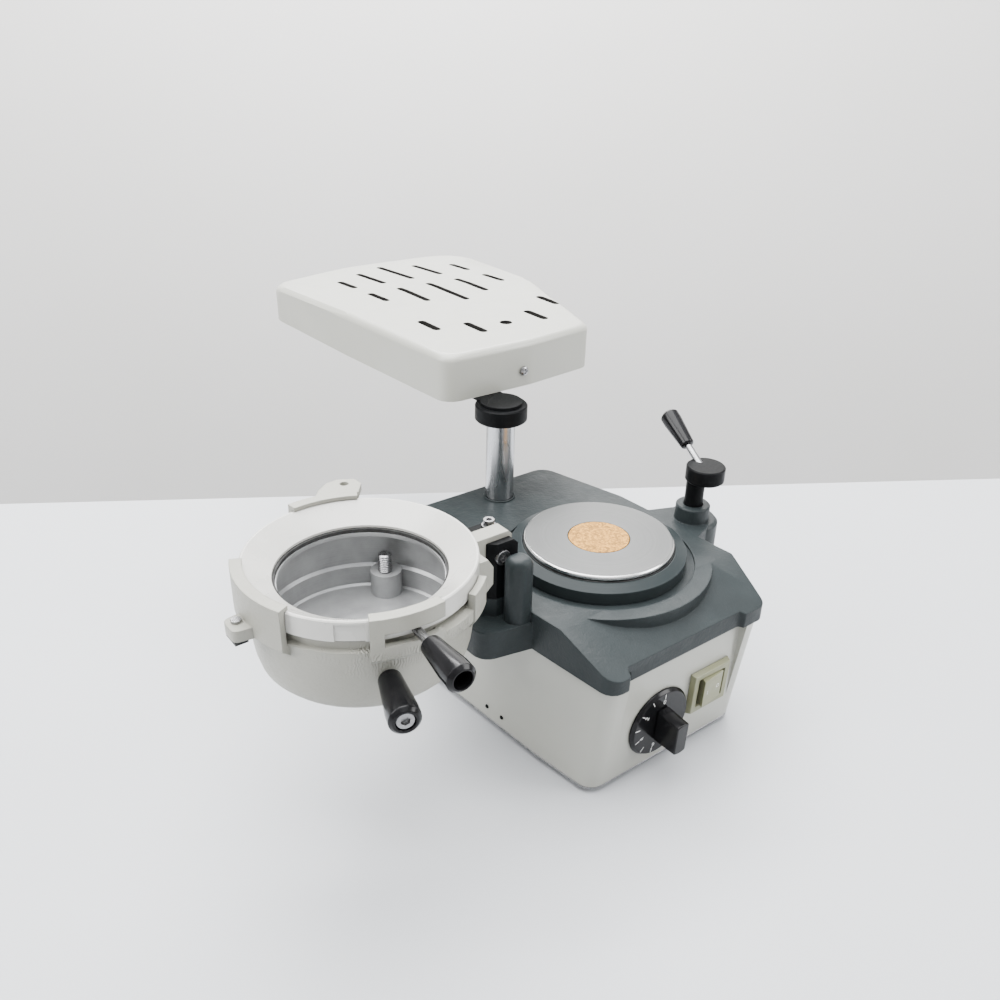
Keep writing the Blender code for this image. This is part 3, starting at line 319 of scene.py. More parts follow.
def cast_paint(colour, depth):
    """Off-white paint over a sand casting: grainy, with tool chatter round the top of the wall."""
    f = Finish("chamber_paint", coat=0.05)
    grain = f.noise(330, 5, 0.62)
    base = f.mix(f.span(f.noise(20, 4), 0.3, 0.7), tone(colour, 0.93), tone(colour, 1.03))
    base = f.mix(f.maths("MULTIPLY", f.span(grain, 0.42, 0.3), 0.3), base, tone(colour, 0.7))
    specks = f.maths("MULTIPLY", f.span(f.cells(210), 0.07, 0.03), f.span(f.noise(24, 2), 0.56, 0.62))
    base = f.mix(f.maths("MULTIPLY", specks, 0.7), base, tone(colour, 0.25))
    rubbed = f.maths("MULTIPLY", f.edges(0.001), f.span(f.noise(130, 4, 0.6), 0.46, 0.62))
    f.colour(f.mix(f.maths("MULTIPLY", rubbed, 0.5), base, tone(colour, 0.62)))
    f.rough(f.span(grain, 0.3, 0.7, 0.4, 0.58))
    height = f.part_of(f.place, "Z")
    start, full, fading, end = CHATTER_Z
    band = f.maths("MULTIPLY", f.span(height, start, full), f.span(height, end, fading))
    front = f.span(f.part_of(f.place, "Y"), -0.045, -0.068)
    broken = f.span(f.noise(75, 3), 0.4, 0.62)
    chatter = f.maths("MULTIPLY", f.maths("MULTIPLY", band, front), f.waves(170, 9.0))
    chatter = f.maths("MULTIPLY", chatter, broken)
    f.bump((grain, depth * 1.5), (f.noise(60, 3), depth * 2.0), (chatter, depth * 4.0), soften=0.0012)
    return f.material


def ring_paint(colour):
    """Smooth glossy white on the turned clamp ring."""
    f = Finish("ring_paint", coat=0.35)
    base = f.mix(f.span(f.noise(18, 4), 0.3, 0.7), tone(colour, 0.95), colour)
    rubbed = f.maths("MULTIPLY", f.edges(0.0009), f.span(f.noise(110, 4, 0.6), 0.5, 0.64))
    f.colour(f.mix(f.maths("MULTIPLY", rubbed, 0.45), base, tone(colour, 0.55)))
    f.rough(f.span(f.noise(50, 3), 0.3, 0.7, 0.24, 0.36))
    f.bump((f.noise(1.0, 2, place=f.turned(CHAMBER_AXIS, 700)), 0.00001), (f.noise(300, 2), 0.00002))
    return f.material


def cavity_metal():
    """Bare turned aluminium inside the chamber, cloudy from use."""
    f = Finish("turned_cavity_aluminium", metallic=0.6)
    rings = f.noise(1.0, 3, 0.6, place=f.turned(CHAMBER_AXIS, 1500))
    cloud = f.span(f.noise(45, 5, 0.6), 0.32, 0.7)
    base = f.mix(cloud, (0.24, 0.242, 0.243), (0.37, 0.374, 0.375))
    f.colour(f.mix(f.span(rings, 0.35, 0.65, 0.0, 0.35), base, (0.38, 0.385, 0.39)))
    f.rough(f.span(cloud, 0.0, 1.0, 0.34, 0.5))
    f.bump((rings, 0.00003), (f.noise(500, 4), 0.00004))
    return f.material


def turned_metal(name, colour, low, high):
    """Turned metal with fine rings about the platform's axis, and a little haze."""
    f = Finish(name, metallic=1.0)
    rings = f.noise(1.0, 3, 0.6, place=f.turned((0, 0), 1400))
    haze = f.span(f.noise(35, 5, 0.6), 0.3, 0.7)
    f.colour(f.mix(f.span(rings, 0.3, 0.7), tone(colour, 0.9), tone(colour, 1.05)))
    f.rough(f.span(haze, 0.0, 1.0, low, high))
    f.bump((rings, 0.000012), (f.noise(900, 3), 0.000008))
    return f.material


def drawn_metal(name, colour, low, high):
    """Ground bar: fine lines along the bar, which stands upright."""
    f = Finish(name, metallic=1.0)
    lines = f.noise(1.0, 4, 0.6, place=f.place_scaled((2200, 2200, 14)))
    smear = f.span(f.noise(1.0, 3, place=f.place_scaled((90, 90, 9))), 0.3, 0.7)
    f.colour(f.mix(f.span(lines, 0.3, 0.7), tone(colour, 0.88), tone(colour, 1.05)))
    f.rough(f.span(smear, 0.0, 1.0, low, high))
    f.bump((lines, 0.000008))
    return f.material


def plain_metal(name, colour, low, high):
    """Small steel or brass parts: fine scratches every way, darker in patches."""
    f = Finish(name, metallic=1.0)
    grime = f.span(f.noise(120, 5, 0.65), 0.35, 0.75)
    scratch = f.noise(1.0, 3, place=f.place_scaled((3000, 260, 900)))
    f.colour(f.mix(grime, colour, tone(colour, 0.68)))
    f.rough(f.span(scratch, 0.3, 0.7, low, high))
    f.bump((scratch, 0.00001))
    return f.material


def black_finish(name, colour, low, high, coat, specular, grain, edge_radius):
    """Black plastic or black paint, with worn edges and handling marks."""
    f = Finish(name, coat=coat, specular=specular)
    rubbed = f.maths("MULTIPLY", f.edges(edge_radius), f.span(f.noise(140, 4, 0.6), 0.42, 0.62))
    base = f.mix(f.span(f.noise(60, 4), 0.3, 0.7), tone(colour, 0.85), tone(colour, 1.25))
    f.colour(f.mix(f.maths("MULTIPLY", rubbed, 0.5), base, tone(colour, 4.0)))
    marks = f.noise(1.0, 4, 0.6, place=f.place_scaled((400, 900, 160)))
    f.rough(f.span(marks, 0.3, 0.7, low, high))
    f.bump((f.noise(grain, 2), 0.00002), (marks, 0.000008))
    return f.material


def rubber_finish():
    """Matt black rubber, greyer where it is dusty."""
    f = Finish("black_rubber", specular=0.3)
    f.colour(f.mix(f.span(f.noise(80, 4), 0.35, 0.7), (0.012, 0.012, 0.012), (0.035, 0.035, 0.034)))
    f.rough(f.span(f.noise(200, 3), 0.3, 0.7, 0.62, 0.85))
    f.bump((f.noise(1500, 2), 0.00003))
    return f.material


def cork_finish(colour):
    """Pressed cork: granules of several browns with dark gaps."""
    f = Finish("pressed_cork", specular=0.25)
    granule = f.part_of(f.cells(620, "Color"), "X")
    base = f.mix(f.span(granule, 0.1, 0.9), tone(colour, 0.5), tone(colour, 1.25))
    dark = f.span(f.noise(800, 4, 0.7), 0.55, 0.68)
    base = f.mix(f.maths("MULTIPLY", dark, 0.65), base, tone(colour, 0.32))
    f.colour(f.mix(f.span(f.noise(120, 3), 0.5, 0.75, 0.0, 0.3), base, tone(colour, 1.3)))
    f.rough(f.span(granule, 0.0, 1.0, 0.75, 0.95))
    f.bump((f.cells(620), 0.0002), (f.noise(1400, 3), 0.0001))
    return f.material


def beige_finish(colour):
    """Aged beige switch plastic, yellower in patches, a little dirt along its edges."""
    f = Finish("aged_beige_plastic")
    yellowed = (colour[0] * 0.97, colour[1] * 0.95, colour[2] * 0.82)
    base = f.mix(f.span(f.noise(60, 4), 0.3, 0.7), colour, yellowed)
    dirt = f.maths("MULTIPLY", f.edges(0.0012), f.span(f.noise(180, 4), 0.4, 0.65))
    f.colour(f.mix(f.maths("MULTIPLY", dirt, 0.5), base, tone(colour, 0.5)))
    f.rough(f.span(f.noise(90, 3), 0.3, 0.7, 0.36, 0.5))
    f.bump((f.noise(1300, 2), 0.00002))
    return f.material


def moulded_finish(name, colour, low, high):
    """Moulded plastic or fired ceramic inside the housing."""
    f = Finish(name)
    f.colour(f.mix(f.span(f.noise(70, 4), 0.3, 0.7), tone(colour, 0.86), tone(colour, 1.08)))
    f.rough(f.span(f.noise(150, 3), 0.3, 0.7, low, high))
    f.bump((f.noise(900, 3), 0.00004))
    return f.material


def print_finish():
    """White print on the dial, thin in places."""
    f = Finish("dial_print", specular=0.3)
    f.colour(f.mix(f.span(f.noise(900, 3), 0.42, 0.7), (0.75, 0.75, 0.73), (0.42, 0.42, 0.41)))
    f.rough(f.span(f.noise(300, 2), 0.3, 0.7, 0.5, 0.65))
    f.bump((f.noise(2500, 2), 0.00001))
    return f.material


FINISHES = {}


def make_finishes(looks):
    """Makes each finish once."""
    FINISHES.update({
        "white_enamel": enamel(tuple(looks.enamel_colour)),
        "grey_green_paint": cover_paint(tuple(looks.cover_colour)),
        "cone_paint": cone_paint(tuple(looks.cover_colour)),
        "chamber_paint": cast_paint(tuple(looks.chamber_colour), looks.cast_depth),
        "cavity_metal": cavity_metal(),
        "ring_paint": ring_paint(tuple(looks.ring_colour)),
        "aluminium": turned_metal("turned_aluminium", (0.115, 0.117, 0.116), 0.36, 0.46),
        "column_steel": drawn_metal("ground_column_steel", (0.5, 0.505, 0.515), 0.2, 0.32),
        "steel": plain_metal("small_parts_steel", (0.3, 0.3, 0.305), 0.22, 0.38),
        "brass": plain_metal("brass", (0.66, 0.47, 0.19), 0.25, 0.42),
        "black_metal": black_finish(
            "black_metal", (0.004, 0.0043, 0.0046), 0.3, 0.46, 0.0, 0.05, 700, 0.0011),
        "black_plastic": black_finish(
            "glossy_black_plastic", (0.004, 0.004, 0.0045), 0.12, 0.26, 0.1, 0.14, 1500, 0.0008),
        # much lighter than the plate's own aluminium: a polished rim whose highlight is painted into the
        # colour
        "bright_rim": turned_metal("turned_rim_painted_highlight", (0.7, 0.7, 0.69), 0.16, 0.26),
        # dark metal for the parts inside the heater, also used as painted shade on the shell's ceiling and
        # vent walls
        "heater_inside": black_finish(
            "heat_darkened_metal_and_painted_shade", (0.02, 0.019, 0.018), 0.5, 0.7, 0.0, 0.1, 900, 0.0008),
        "rubber": rubber_finish(),
        "cork": cork_finish(tuple(looks.cork_colour)),
        "beige_plastic": beige_finish(tuple(looks.switch_colour)),
        "ceramic": moulded_finish("fired_ceramic", (0.66, 0.63, 0.57), 0.6, 0.8),
        "insulator_plastic": moulded_finish("insulator_plastic", (0.1, 0.12, 0.19), 0.45, 0.6),
        "print": print_finish(),
    })


# ---------------------------------------------------------------- modelling helpers

def select_nothing():
    """Leaves edit mode and deselects everything."""
    if bpy.context.mode != "OBJECT":
        bpy.ops.object.mode_set(mode="OBJECT")
    bpy.ops.object.select_all(action="DESELECT")


def take_up(piece):
    """Makes a piece the only one selected, and the active one."""
    select_nothing()
    piece.select_set(True)
    bpy.context.view_layer.objects.active = piece


def body_of_node(node):
    """The body that a CAD node rides on."""
    return frame["nodes"][node]["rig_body"]


def finish_piece(piece, name, body, finish, replaced=()):
    """Names a piece, gives it its finish, and lets it ride on its body."""
    piece.name = name
    piece.data.name = name
    if finish:
        piece.data.materials.clear()
        piece.data.materials.append(FINISHES[finish])
    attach(piece, body)
    if replaced:
        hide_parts(*replaced)
    return piece


def merged_copy(node):
    """A copy of a CAD node, its loose triangles merged and its flat faces made whole."""
    piece = bpy.data.objects.new(node + "_detailed", frame["nodes"][node].data.copy())
    bpy.context.scene.collection.objects.link(piece)
    take_up(piece)
    piece.data.materials.clear()
    bpy.ops.mesh.customdata_custom_splitnormals_clear()
    bpy.ops.object.mode_set(mode="EDIT")
    bpy.ops.mesh.select_all(action="SELECT")
    bpy.ops.mesh.remove_doubles(threshold=0.00002)
    bpy.ops.mesh.dissolve_limited(angle_limit=math.radians(0.6))
    bpy.ops.object.mode_set(mode="OBJECT")
    return piece


def round_edges(piece, width, segments=2, sharper_than=34.0):
    """Rounds the sharp edges and shades the rest smooth."""
    take_up(piece)
    bpy.ops.object.shade_smooth_by_angle(angle=math.radians(sharper_than))
    bevel = piece.modifiers.new("rounded_edges", "BEVEL")
    bevel.width = width
    bevel.segments = segments
    bevel.limit_method = "ANGLE"
    bevel.angle_limit = math.radians(sharper_than)
    bevel.use_clamp_overlap = True
    bevel.harden_normals = True
    bevel.miter_outer = "MITER_ARC"
    bpy.ops.object.modifier_apply(modifier=bevel.name)
    return piece


def round_chosen(piece, chosen, width, segments):
    """Rounds the edges that chosen(middle, angle, rise) picks, in edit mode."""
    take_up(piece)
    bpy.ops.object.mode_set(mode="EDIT")
    bpy.ops.mesh.select_mode(type="EDGE")
    bpy.ops.mesh.select_all(action="DESELECT")
    shape = bmesh.from_edit_mesh(piece.data)
    for edge in shape.edges:
        if len(edge.link_faces) == 2:
            start, end = (vert.co for vert in edge.verts)
            if chosen((start + end) / 2, math.degrees(edge.calc_face_angle()), abs(start.z - end.z)):
                edge.select_set(True)
    bmesh.update_edit_mesh(piece.data)
    bpy.ops.mesh.bevel(offset=width, segments=segments, affect="EDGES", clamp_overlap=False)
    bpy.ops.object.mode_set(mode="OBJECT")
    return piece


def finish_faces(piece, finish, chosen):
    """Gives the faces that chosen(middle, normal) picks another finish."""
    piece.data.materials.append(FINISHES[finish])
    last = len(piece.data.materials) - 1
    for face in piece.data.polygons:
        if chosen(face.center, face.normal):
            face.material_index = last


def rounded_copy(node, finish, width, segments=2, sharper_than=34.0):
    """A copy of a CAD node with rounded edges, standing for the node."""
    piece = round_edges(merged_copy(node), width, segments, sharper_than)
    return finish_piece(piece, node + "_detailed", body_of_node(node), finish, (node,))


def on_panel(x, z):
    """The place and turn of the front panel at x and z: +X right, +Y up the panel, +Z out of it."""
    y = PANEL_TOP[0] + (PANEL_TOP[1] - z) * math.tan(PANEL_LEAN)
    return Matrix.Translation((x, y, z)) @ Matrix.Rotation(PANEL_LEAN + math.radians(90), 4, "X")


def on_dial(radius, degrees, lift):
    """The place and turn of something on the dial's face: its +Y runs outwards along the dial's radius."""
    spoke = Matrix.Rotation(math.radians(degrees - 90), 4, "Z") @ Matrix.Translation((0, radius, lift))
    return on_panel(*DIAL_CENTRE) @ spoke


def print_text(text, height, placed, name, body):
    """One printed character, as a thin piece."""
    select_nothing()
    bpy.ops.object.text_add()
    printed = bpy.context.object
    printed.data.body = text
    printed.data.size = height
    printed.data.extrude = 0.1 * MM
    printed.data.align_x = "CENTER"
    printed.data.align_y = "CENTER"
    bpy.ops.object.convert(target="MESH")
    printed = bpy.context.object
    bpy.ops.object.mode_set(mode="EDIT")
    bpy.ops.mesh.select_all(action="SELECT")
    bpy.ops.mesh.remove_doubles(threshold=0.000001)
    bpy.ops.object.mode_set(mode="OBJECT")
    put_mesh(printed, placed)
    return finish_piece(printed, name, body, "print")


def put_mesh(piece, placed):
    """Moves a piece's mesh to its place and leaves its object at the origin."""
    take_up(piece)
    bpy.ops.object.transform_apply(location=True, rotation=True, scale=True)
    piece.data.transform(placed)


# ---------------------------------------------------------------- settings

class FinishSettings(bpy.types.PropertyGroup):
    """Colours of the finishes."""

    enamel_colour: FloatVectorProperty(
        name="Housing enamel", description="Colour of the sheet metal housing and heater",
        subtype="COLOR", size=3, min=0.0, max=1.0, default=paint(156, 156, 148))
    cover_colour: FloatVectorProperty(
        name="Cover paint", description="Colour of the cast cover round the platform",
        subtype="COLOR", size=3, min=0.0, max=1.0, default=paint(34, 39, 40))
    chamber_colour: FloatVectorProperty(
        name="Chamber paint", description="Colour of the cast pressure chamber",
        subtype="COLOR", size=3, min=0.0, max=1.0, default=paint(140, 139, 130))
    ring_colour: FloatVectorProperty(
        name="Clamp ring paint", description="Colour of the clamp ring",
        subtype="COLOR", size=3, min=0.0, max=1.0, default=paint(178, 177, 172))
    cork_colour: FloatVectorProperty(
        name="Cork", description="Middle colour of the cork insert",
        subtype="COLOR", size=3, min=0.0, max=1.0, default=paint(174, 127, 60))
    switch_colour: FloatVectorProperty(
        name="Switch plastic", description="Colour of the power switch",
        subtype="COLOR", size=3, min=0.0, max=1.0, default=paint(120, 121, 98))
    cast_depth: FloatProperty(
        name="Cast grain", description="Depth of the grain on the cast chamber",
        unit="LENGTH", min=0.0, max=0.001, default=0.00016)


class DetailSettings(bpy.types.PropertyGroup):
    """Sizes of the fine detail."""

    casting_edge: FloatProperty(
        name="Casting edge", description="Radius of the edges of the cast pieces",
        unit="LENGTH", min=0.0, max=0.003, default=0.0012)
    sheet_edge: FloatProperty(
        name="Sheet edge", description="Radius of the edges of the sheet metal pieces",
        unit="LENGTH", min=0.0, max=0.002, default=0.0007)
    small_edge: FloatProperty(
        name="Small edge", description="Radius of the edges of the small pieces",
        unit="LENGTH", min=0.0, max=0.001, default=0.0004)
    mark_count: IntProperty(
        name="Dial marks", description="How many marks the timer dial has", min=2, max=24, default=9)
    mark_step: FloatProperty(
        name="Dial step", description="Angle between two marks",
        subtype="ANGLE", min=0.1, max=1.0, default=math.radians(28))
    numeral_height: FloatProperty(
        name="Numeral size", description="Size of the numbers on the dial",
        unit="LENGTH", min=0.001, max=0.01, default=0.0056)
    thread_pitch: FloatProperty(
        name="Ring spacing", description="Distance between the rings on the air inlet screw",
        unit="LENGTH", min=0.0005, max=0.003, default=0.0015)


class StageSettings(bpy.types.PropertyGroup):
    """Camera and light."""

    lens: FloatProperty(
        name="Lens", description="Focal length of the camera, in millimetres",
        min=10.0, max=200.0, default=34.02)
    top_light: FloatProperty(
        name="Top light", description="Power of the broad light overhead",
        unit="POWER", min=0.0, max=500.0, default=112.0)
    key_light: FloatProperty(
        name="Side light", description="Power of the light from the front right",
        unit="POWER", min=0.0, max=500.0, default=54.0)
    left_light: FloatProperty(
        name="Left light", description="Power of the light from the left and behind",
        unit="POWER", min=0.0, max=500.0, default=42.0)
    room_light: FloatProperty(
        name="Room light", description="Strength of the light from all round",
        min=0.0, max=10.0, default=2.8)
    wall_light: FloatProperty(
        name="Wall light", description="Power of the light that falls on the backdrop",
        unit="POWER", min=0.0, max=2000.0, default=760.0)


# ---------------------------------------------------------------- operators

class MOULDING_OT_finishes(bpy.types.Operator):
    """Makes the finishes and gives each CAD node the one that its surface needs"""

    bl_idname = "moulding.finishes"
    bl_label = "Finishes"

    def execute(self, context):
        make_finishes(context.scene.moulding_finish)
        slot_of = {"column": "column_steel", "seat_ring": "cone_paint", "heater_reflector": "heater_inside",
                   "heater_bracket": "heater_inside"}
        for name, node in frame["nodes"].items():
            given = node.data.materials[0].name.split(".")[0]
            node.data.materials[0] = FINISHES[slot_of.get(name, given)]
        return {"FINISHED"}


class MOULDING_OT_castings(bpy.types.Operator):
    """Rounds the edges of the cast cover, chamber and clamp ring, and bares the metal inside the chamber"""

    bl_idname = "moulding.castings"
    bl_label = "Castings"

    def execute(self, context):
        edge = context.scene.moulding_detail.casting_edge
        cover = merged_copy("top_cover")
        round_chosen(cover, self.is_on_post, edge * 1.8, 3)
        round_edges(cover, edge, 3, 30)
        finish_piece(cover, "top_cover_detailed", "base", "grey_green_paint",
                     ("top_cover",))
        rounded_copy("clamp_ring", "ring_paint", edge * 0.5, 2, 30)
        self.lower_flange(edge)
        rounded_copy("seat_ring", "cone_paint", edge * 0.3, 2, 20)
        chamber = rounded_copy("chamber_body", "chamber_paint", edge * 0.7, 2, 32)
        axis = Vector(CHAMBER_AXIS)
        finish_faces(chamber, "cavity_metal", lambda middle, normal: (
            (middle.to_2d() - axis).length < CAVITY_R and CAVITY_Z[0] < middle.z < CAVITY_Z[1]))
        return {"FINISHED"}

    @staticmethod
    def is_on_post(middle, angle, rise):
        """True for the sharp edges of the stop post beside the hinge."""
        (left, right), (front, back) = POST_BOX
        inside = left < middle.x < right and front < middle.y < back
        return inside and middle.z > POST_FOOT_Z and angle > 25

    def lower_flange(self, edge):
        """Makes the flange at the column's foot the low, narrow collar that shows."""
        flange = merged_copy("column_flange")
        low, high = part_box("column_flange")
        foot = Vector(((low.x + high.x) / 2, (low.y + high.y) / 2, low.z))
        for vert in flange.data.vertices:
            out = vert.co - foot
            reach = out.to_2d().length
            scale = (FLANGE_INNER_R + max(0.0, reach - FLANGE_INNER_R) * FLANGE_WIDTH) / reach
            vert.co = foot + Vector((out.x * scale, out.y * scale, out.z * FLANGE_HEIGHT))
        round_edges(flange, edge * 0.2, 2, 30)
        finish_piece(flange, "column_flange_detailed", "base", "grey_green_paint",
                     ("column_flange",))


class MOULDING_OT_sheet_metal(bpy.types.Operator):
    """Rounds the edges of the housing, the heater's shell and the sheet metal under them"""

    bl_idname = "moulding.sheet_metal"
    bl_label = "Sheet metal"

    def execute(self, context):
        edge = context.scene.moulding_detail.sheet_edge
        rounded_copy("base_housing", "white_enamel", edge, 3, 30)
        shell = merged_copy("heater_shell")
        round_chosen(shell, lambda middle, angle, rise: (
            middle.z > CROWN_Z and 25 < angle < 65 and rise < 1 * MM), edge * 3.8, 4)
        round_edges(shell, edge * 0.6, 2, 34)
        finish_piece(shell, "heater_shell_detailed", "heater", "white_enamel",
                     ("heater_shell",))
        # painted shade: the shell's ceiling and vent walls take the dark heater finish
        finish_faces(shell, "heater_inside", self.is_inside)
        rounded_copy("heater_pan", "heater_inside", edge * 0.5)
        rounded_copy("bottom_plate", "steel", edge * 0.5)
        return {"FINISHED"}

    @staticmethod
    def is_inside(middle, normal):
        """True for the shell's ceiling and for the walls of its vents, which get the dark finish as painted
        shade.
        """
        level = middle.z + max(0.0, middle.y - HEATER_BEND_Y) * HEATER_SLOPE
        ceiling = normal.z < -0.5 and level > CEILING_Z
        vent = abs(normal.z) < 0.3 and level > VENT_Z
        return ceiling or vent


class MOULDING_OT_platform(bpy.types.Operator):
    """Rounds the rims of the model plate and its cork insert"""

    bl_idname = "moulding.platform"
    bl_label = "Platform"

    def execute(self, context):
        edge = context.scene.moulding_detail.small_edge
        plate = rounded_copy("model_plate", "aluminium", edge * 1.2, 3, 25)
        # the chamfer round the plate gets a polished finish with a painted highlight
        finish_faces(plate, "bright_rim", lambda middle, normal: (
            middle.to_2d().length > PLATE_RIM_R and middle.z > PLATE_RIM_Z and normal.z < 0.98))
        rounded_copy("plate_insert", "cork", edge * 0.7, 2, 25)
        return {"FINISHED"}


class MOULDING_OT_column_and_hinge(bpy.types.Operator):
    """Rounds the edges of the column, collar, hinge and lock"""

    bl_idname = "moulding.column_and_hinge"
    bl_label = "Column, hinge and lock"

    def execute(self, context):
        edge = context.scene.moulding_detail.small_edge
        for node in ("swing_collar", "hinge_block", "lock_head", "lock_shaft"):
            rounded_copy(node, "black_metal", edge * 1.6, 3, 30)
        for node in ("hinge_pin", "hinge_washer", "hinge_screw", "latch_bolt", "chamber_handle_screw",
                     "heater_face_screw", "heater_bolt"):
            rounded_copy(node, "steel", edge * 0.7)
        for node in ("ring_lever_rod", "lock_lever_rod"):
            rounded_copy(node, "steel", edge * 0.6)
        rounded_copy("column", "column_steel", edge)
        return {"FINISHED"}


class MOULDING_OT_grips(bpy.types.Operator):
    """Rounds the ends of the tapered grips"""

    bl_idname = "moulding.grips"
    bl_label = "Grips"

    def execute(self, context):
        edge = context.scene.moulding_detail.small_edge
        for node in ("chamber_handle_grip", "ring_lever_grip", "lock_lever_grip"):
            rounded_copy(node, "black_plastic", edge * 2, 3, 20)
        return {"FINISHED"}


class MOULDING_OT_switch(bpy.types.Operator):
    """Rounds the switch's frame and rocker, and prints the rocker's two marks"""

    bl_idname = "moulding.switch"
    bl_label = "Power switch"

    def execute(self, context):
        edge = context.scene.moulding_detail.small_edge
        rounded_copy("switch_frame", "beige_plastic", edge * 1.6, 3, 30)
        rounded_copy("switch_rocker", "beige_plastic", edge * 1.8, 3, 30)
        tilt = Matrix.Rotation(math.atan(ROCKER_TILT), 4, "Y")
        face = on_panel(*ROCKER_CENTRE) @ Matrix.Translation((0, 0, ROCKER_FACE)) @ tilt
        for text, name, across in ROCKER_PRINT:
            placed = face @ Matrix.Translation((across, 0, PRINT_LIFT))
            print_text(text, ROCKER_PRINT_HEIGHT, placed, name, "rocker")
        return {"FINISHED"}


class MOULDING_OT_dial(bpy.types.Operator):
    """Rounds the timer's dial and knob, and prints marks and numbers on the dial"""

    bl_idname = "moulding.dial"
    bl_label = "Timer dial"

    def execute(self, context):
        detail = context.scene.moulding_detail
        rounded_copy("dial_skirt", "black_plastic", detail.small_edge, 3, 25)
        rounded_copy("dial_knob", "black_plastic", detail.small_edge * 2.2, 3, 25)
        select_nothing()
        bpy.ops.mesh.primitive_cube_add(size=1, scale=(0.62 * MM, 1.0 * MM, 0.25 * MM))
        bpy.ops.object.transform_apply(scale=True)
        bpy.ops.object.mode_set(mode="EDIT")
        bpy.ops.mesh.select_all(action="SELECT")
        bpy.ops.mesh.bevel(offset=0.06 * MM, segments=2, affect="EDGES")
        bpy.ops.object.mode_set(mode="OBJECT")
        pattern = bpy.context.object
        for index in range(detail.mark_count):
            numbered = index % 2 == 0
            degrees = FIRST_MARK + math.degrees(detail.mark_step) * index
            mark = pattern.copy()
            mark.data = pattern.data.copy()
            context.scene.collection.objects.link(mark)
            long = MARK_LENGTHS[index % 2]
            shape = on_dial(MARK_R, degrees, SKIRT_FACE) @ Matrix.Diagonal((1, long, 1, 1))
            put_mesh(mark, shape)
            finish_piece(mark, f"dial_mark_{index + 1}", "dial", "print")
            if numbered:
                placed = on_dial(NUMERAL_R, degrees, SKIRT_FACE + PRINT_LIFT)
                print_text(str(index), detail.numeral_height, placed, f"dial_number_{index}", "dial")
        bpy.data.objects.remove(pattern)
        return {"FINISHED"}


class MOULDING_OT_air_screw(bpy.types.Operator):
    """Makes the air inlet screw on the chamber's floor, with rings in place of its thread"""

    bl_idname = "moulding.air_screw"
    bl_label = "Air inlet screw"

    def execute(self, context):
        low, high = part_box("air_inlet_screw")
        pitch = context.scene.moulding_detail.thread_pitch
        radius = (high.x - low.x) / 2
        middle = ((low.x + high.x) / 2, (low.y + high.y) / 2, 0)
        count = int((high.z - low.z - 0.6 * MM) / pitch)
        profile = [(0.0, low.z), (radius * 0.84, low.z)]
        for turn in range(count):
            foot = low.z + 0.3 * MM + turn * pitch
            profile.append((radius * 0.84, foot))
            profile.append((radius * 0.995, foot + pitch * 0.45))
            profile.append((radius * 0.995, foot + pitch * 0.6))
        profile += [(radius * 0.8, high.z - 0.2 * MM), (radius * 0.7, high.z), (0.0, high.z)]
        select_nothing()
        name = "air_inlet_screw_detailed"
        screw = bpy.data.objects.new(name, bpy.data.meshes.new(name))
        context.scene.collection.objects.link(screw)
        points = [(r + middle[0], middle[1], z) for r, z in profile]
        screw.data.from_pydata(points, [(i, i + 1) for i in range(len(points) - 1)], [])
        take_up(screw)
        bpy.ops.object.mode_set(mode="EDIT")
        bpy.ops.mesh.select_all(action="SELECT")
        bpy.ops.mesh.spin(steps=40, angle=2 * math.pi, center=middle, axis=(0, 0, 1))
        bpy.ops.mesh.select_all(action="SELECT")
        bpy.ops.mesh.remove_doubles(threshold=0.000005)
        bpy.ops.mesh.normals_make_consistent(inside=False)
        bpy.ops.object.mode_set(mode="OBJECT")
        bpy.ops.object.shade_smooth_by_angle(angle=math.radians(30))
        finish_piece(screw, name, "chamber", "steel", ("air_inlet_screw",))
        return {"FINISHED"}


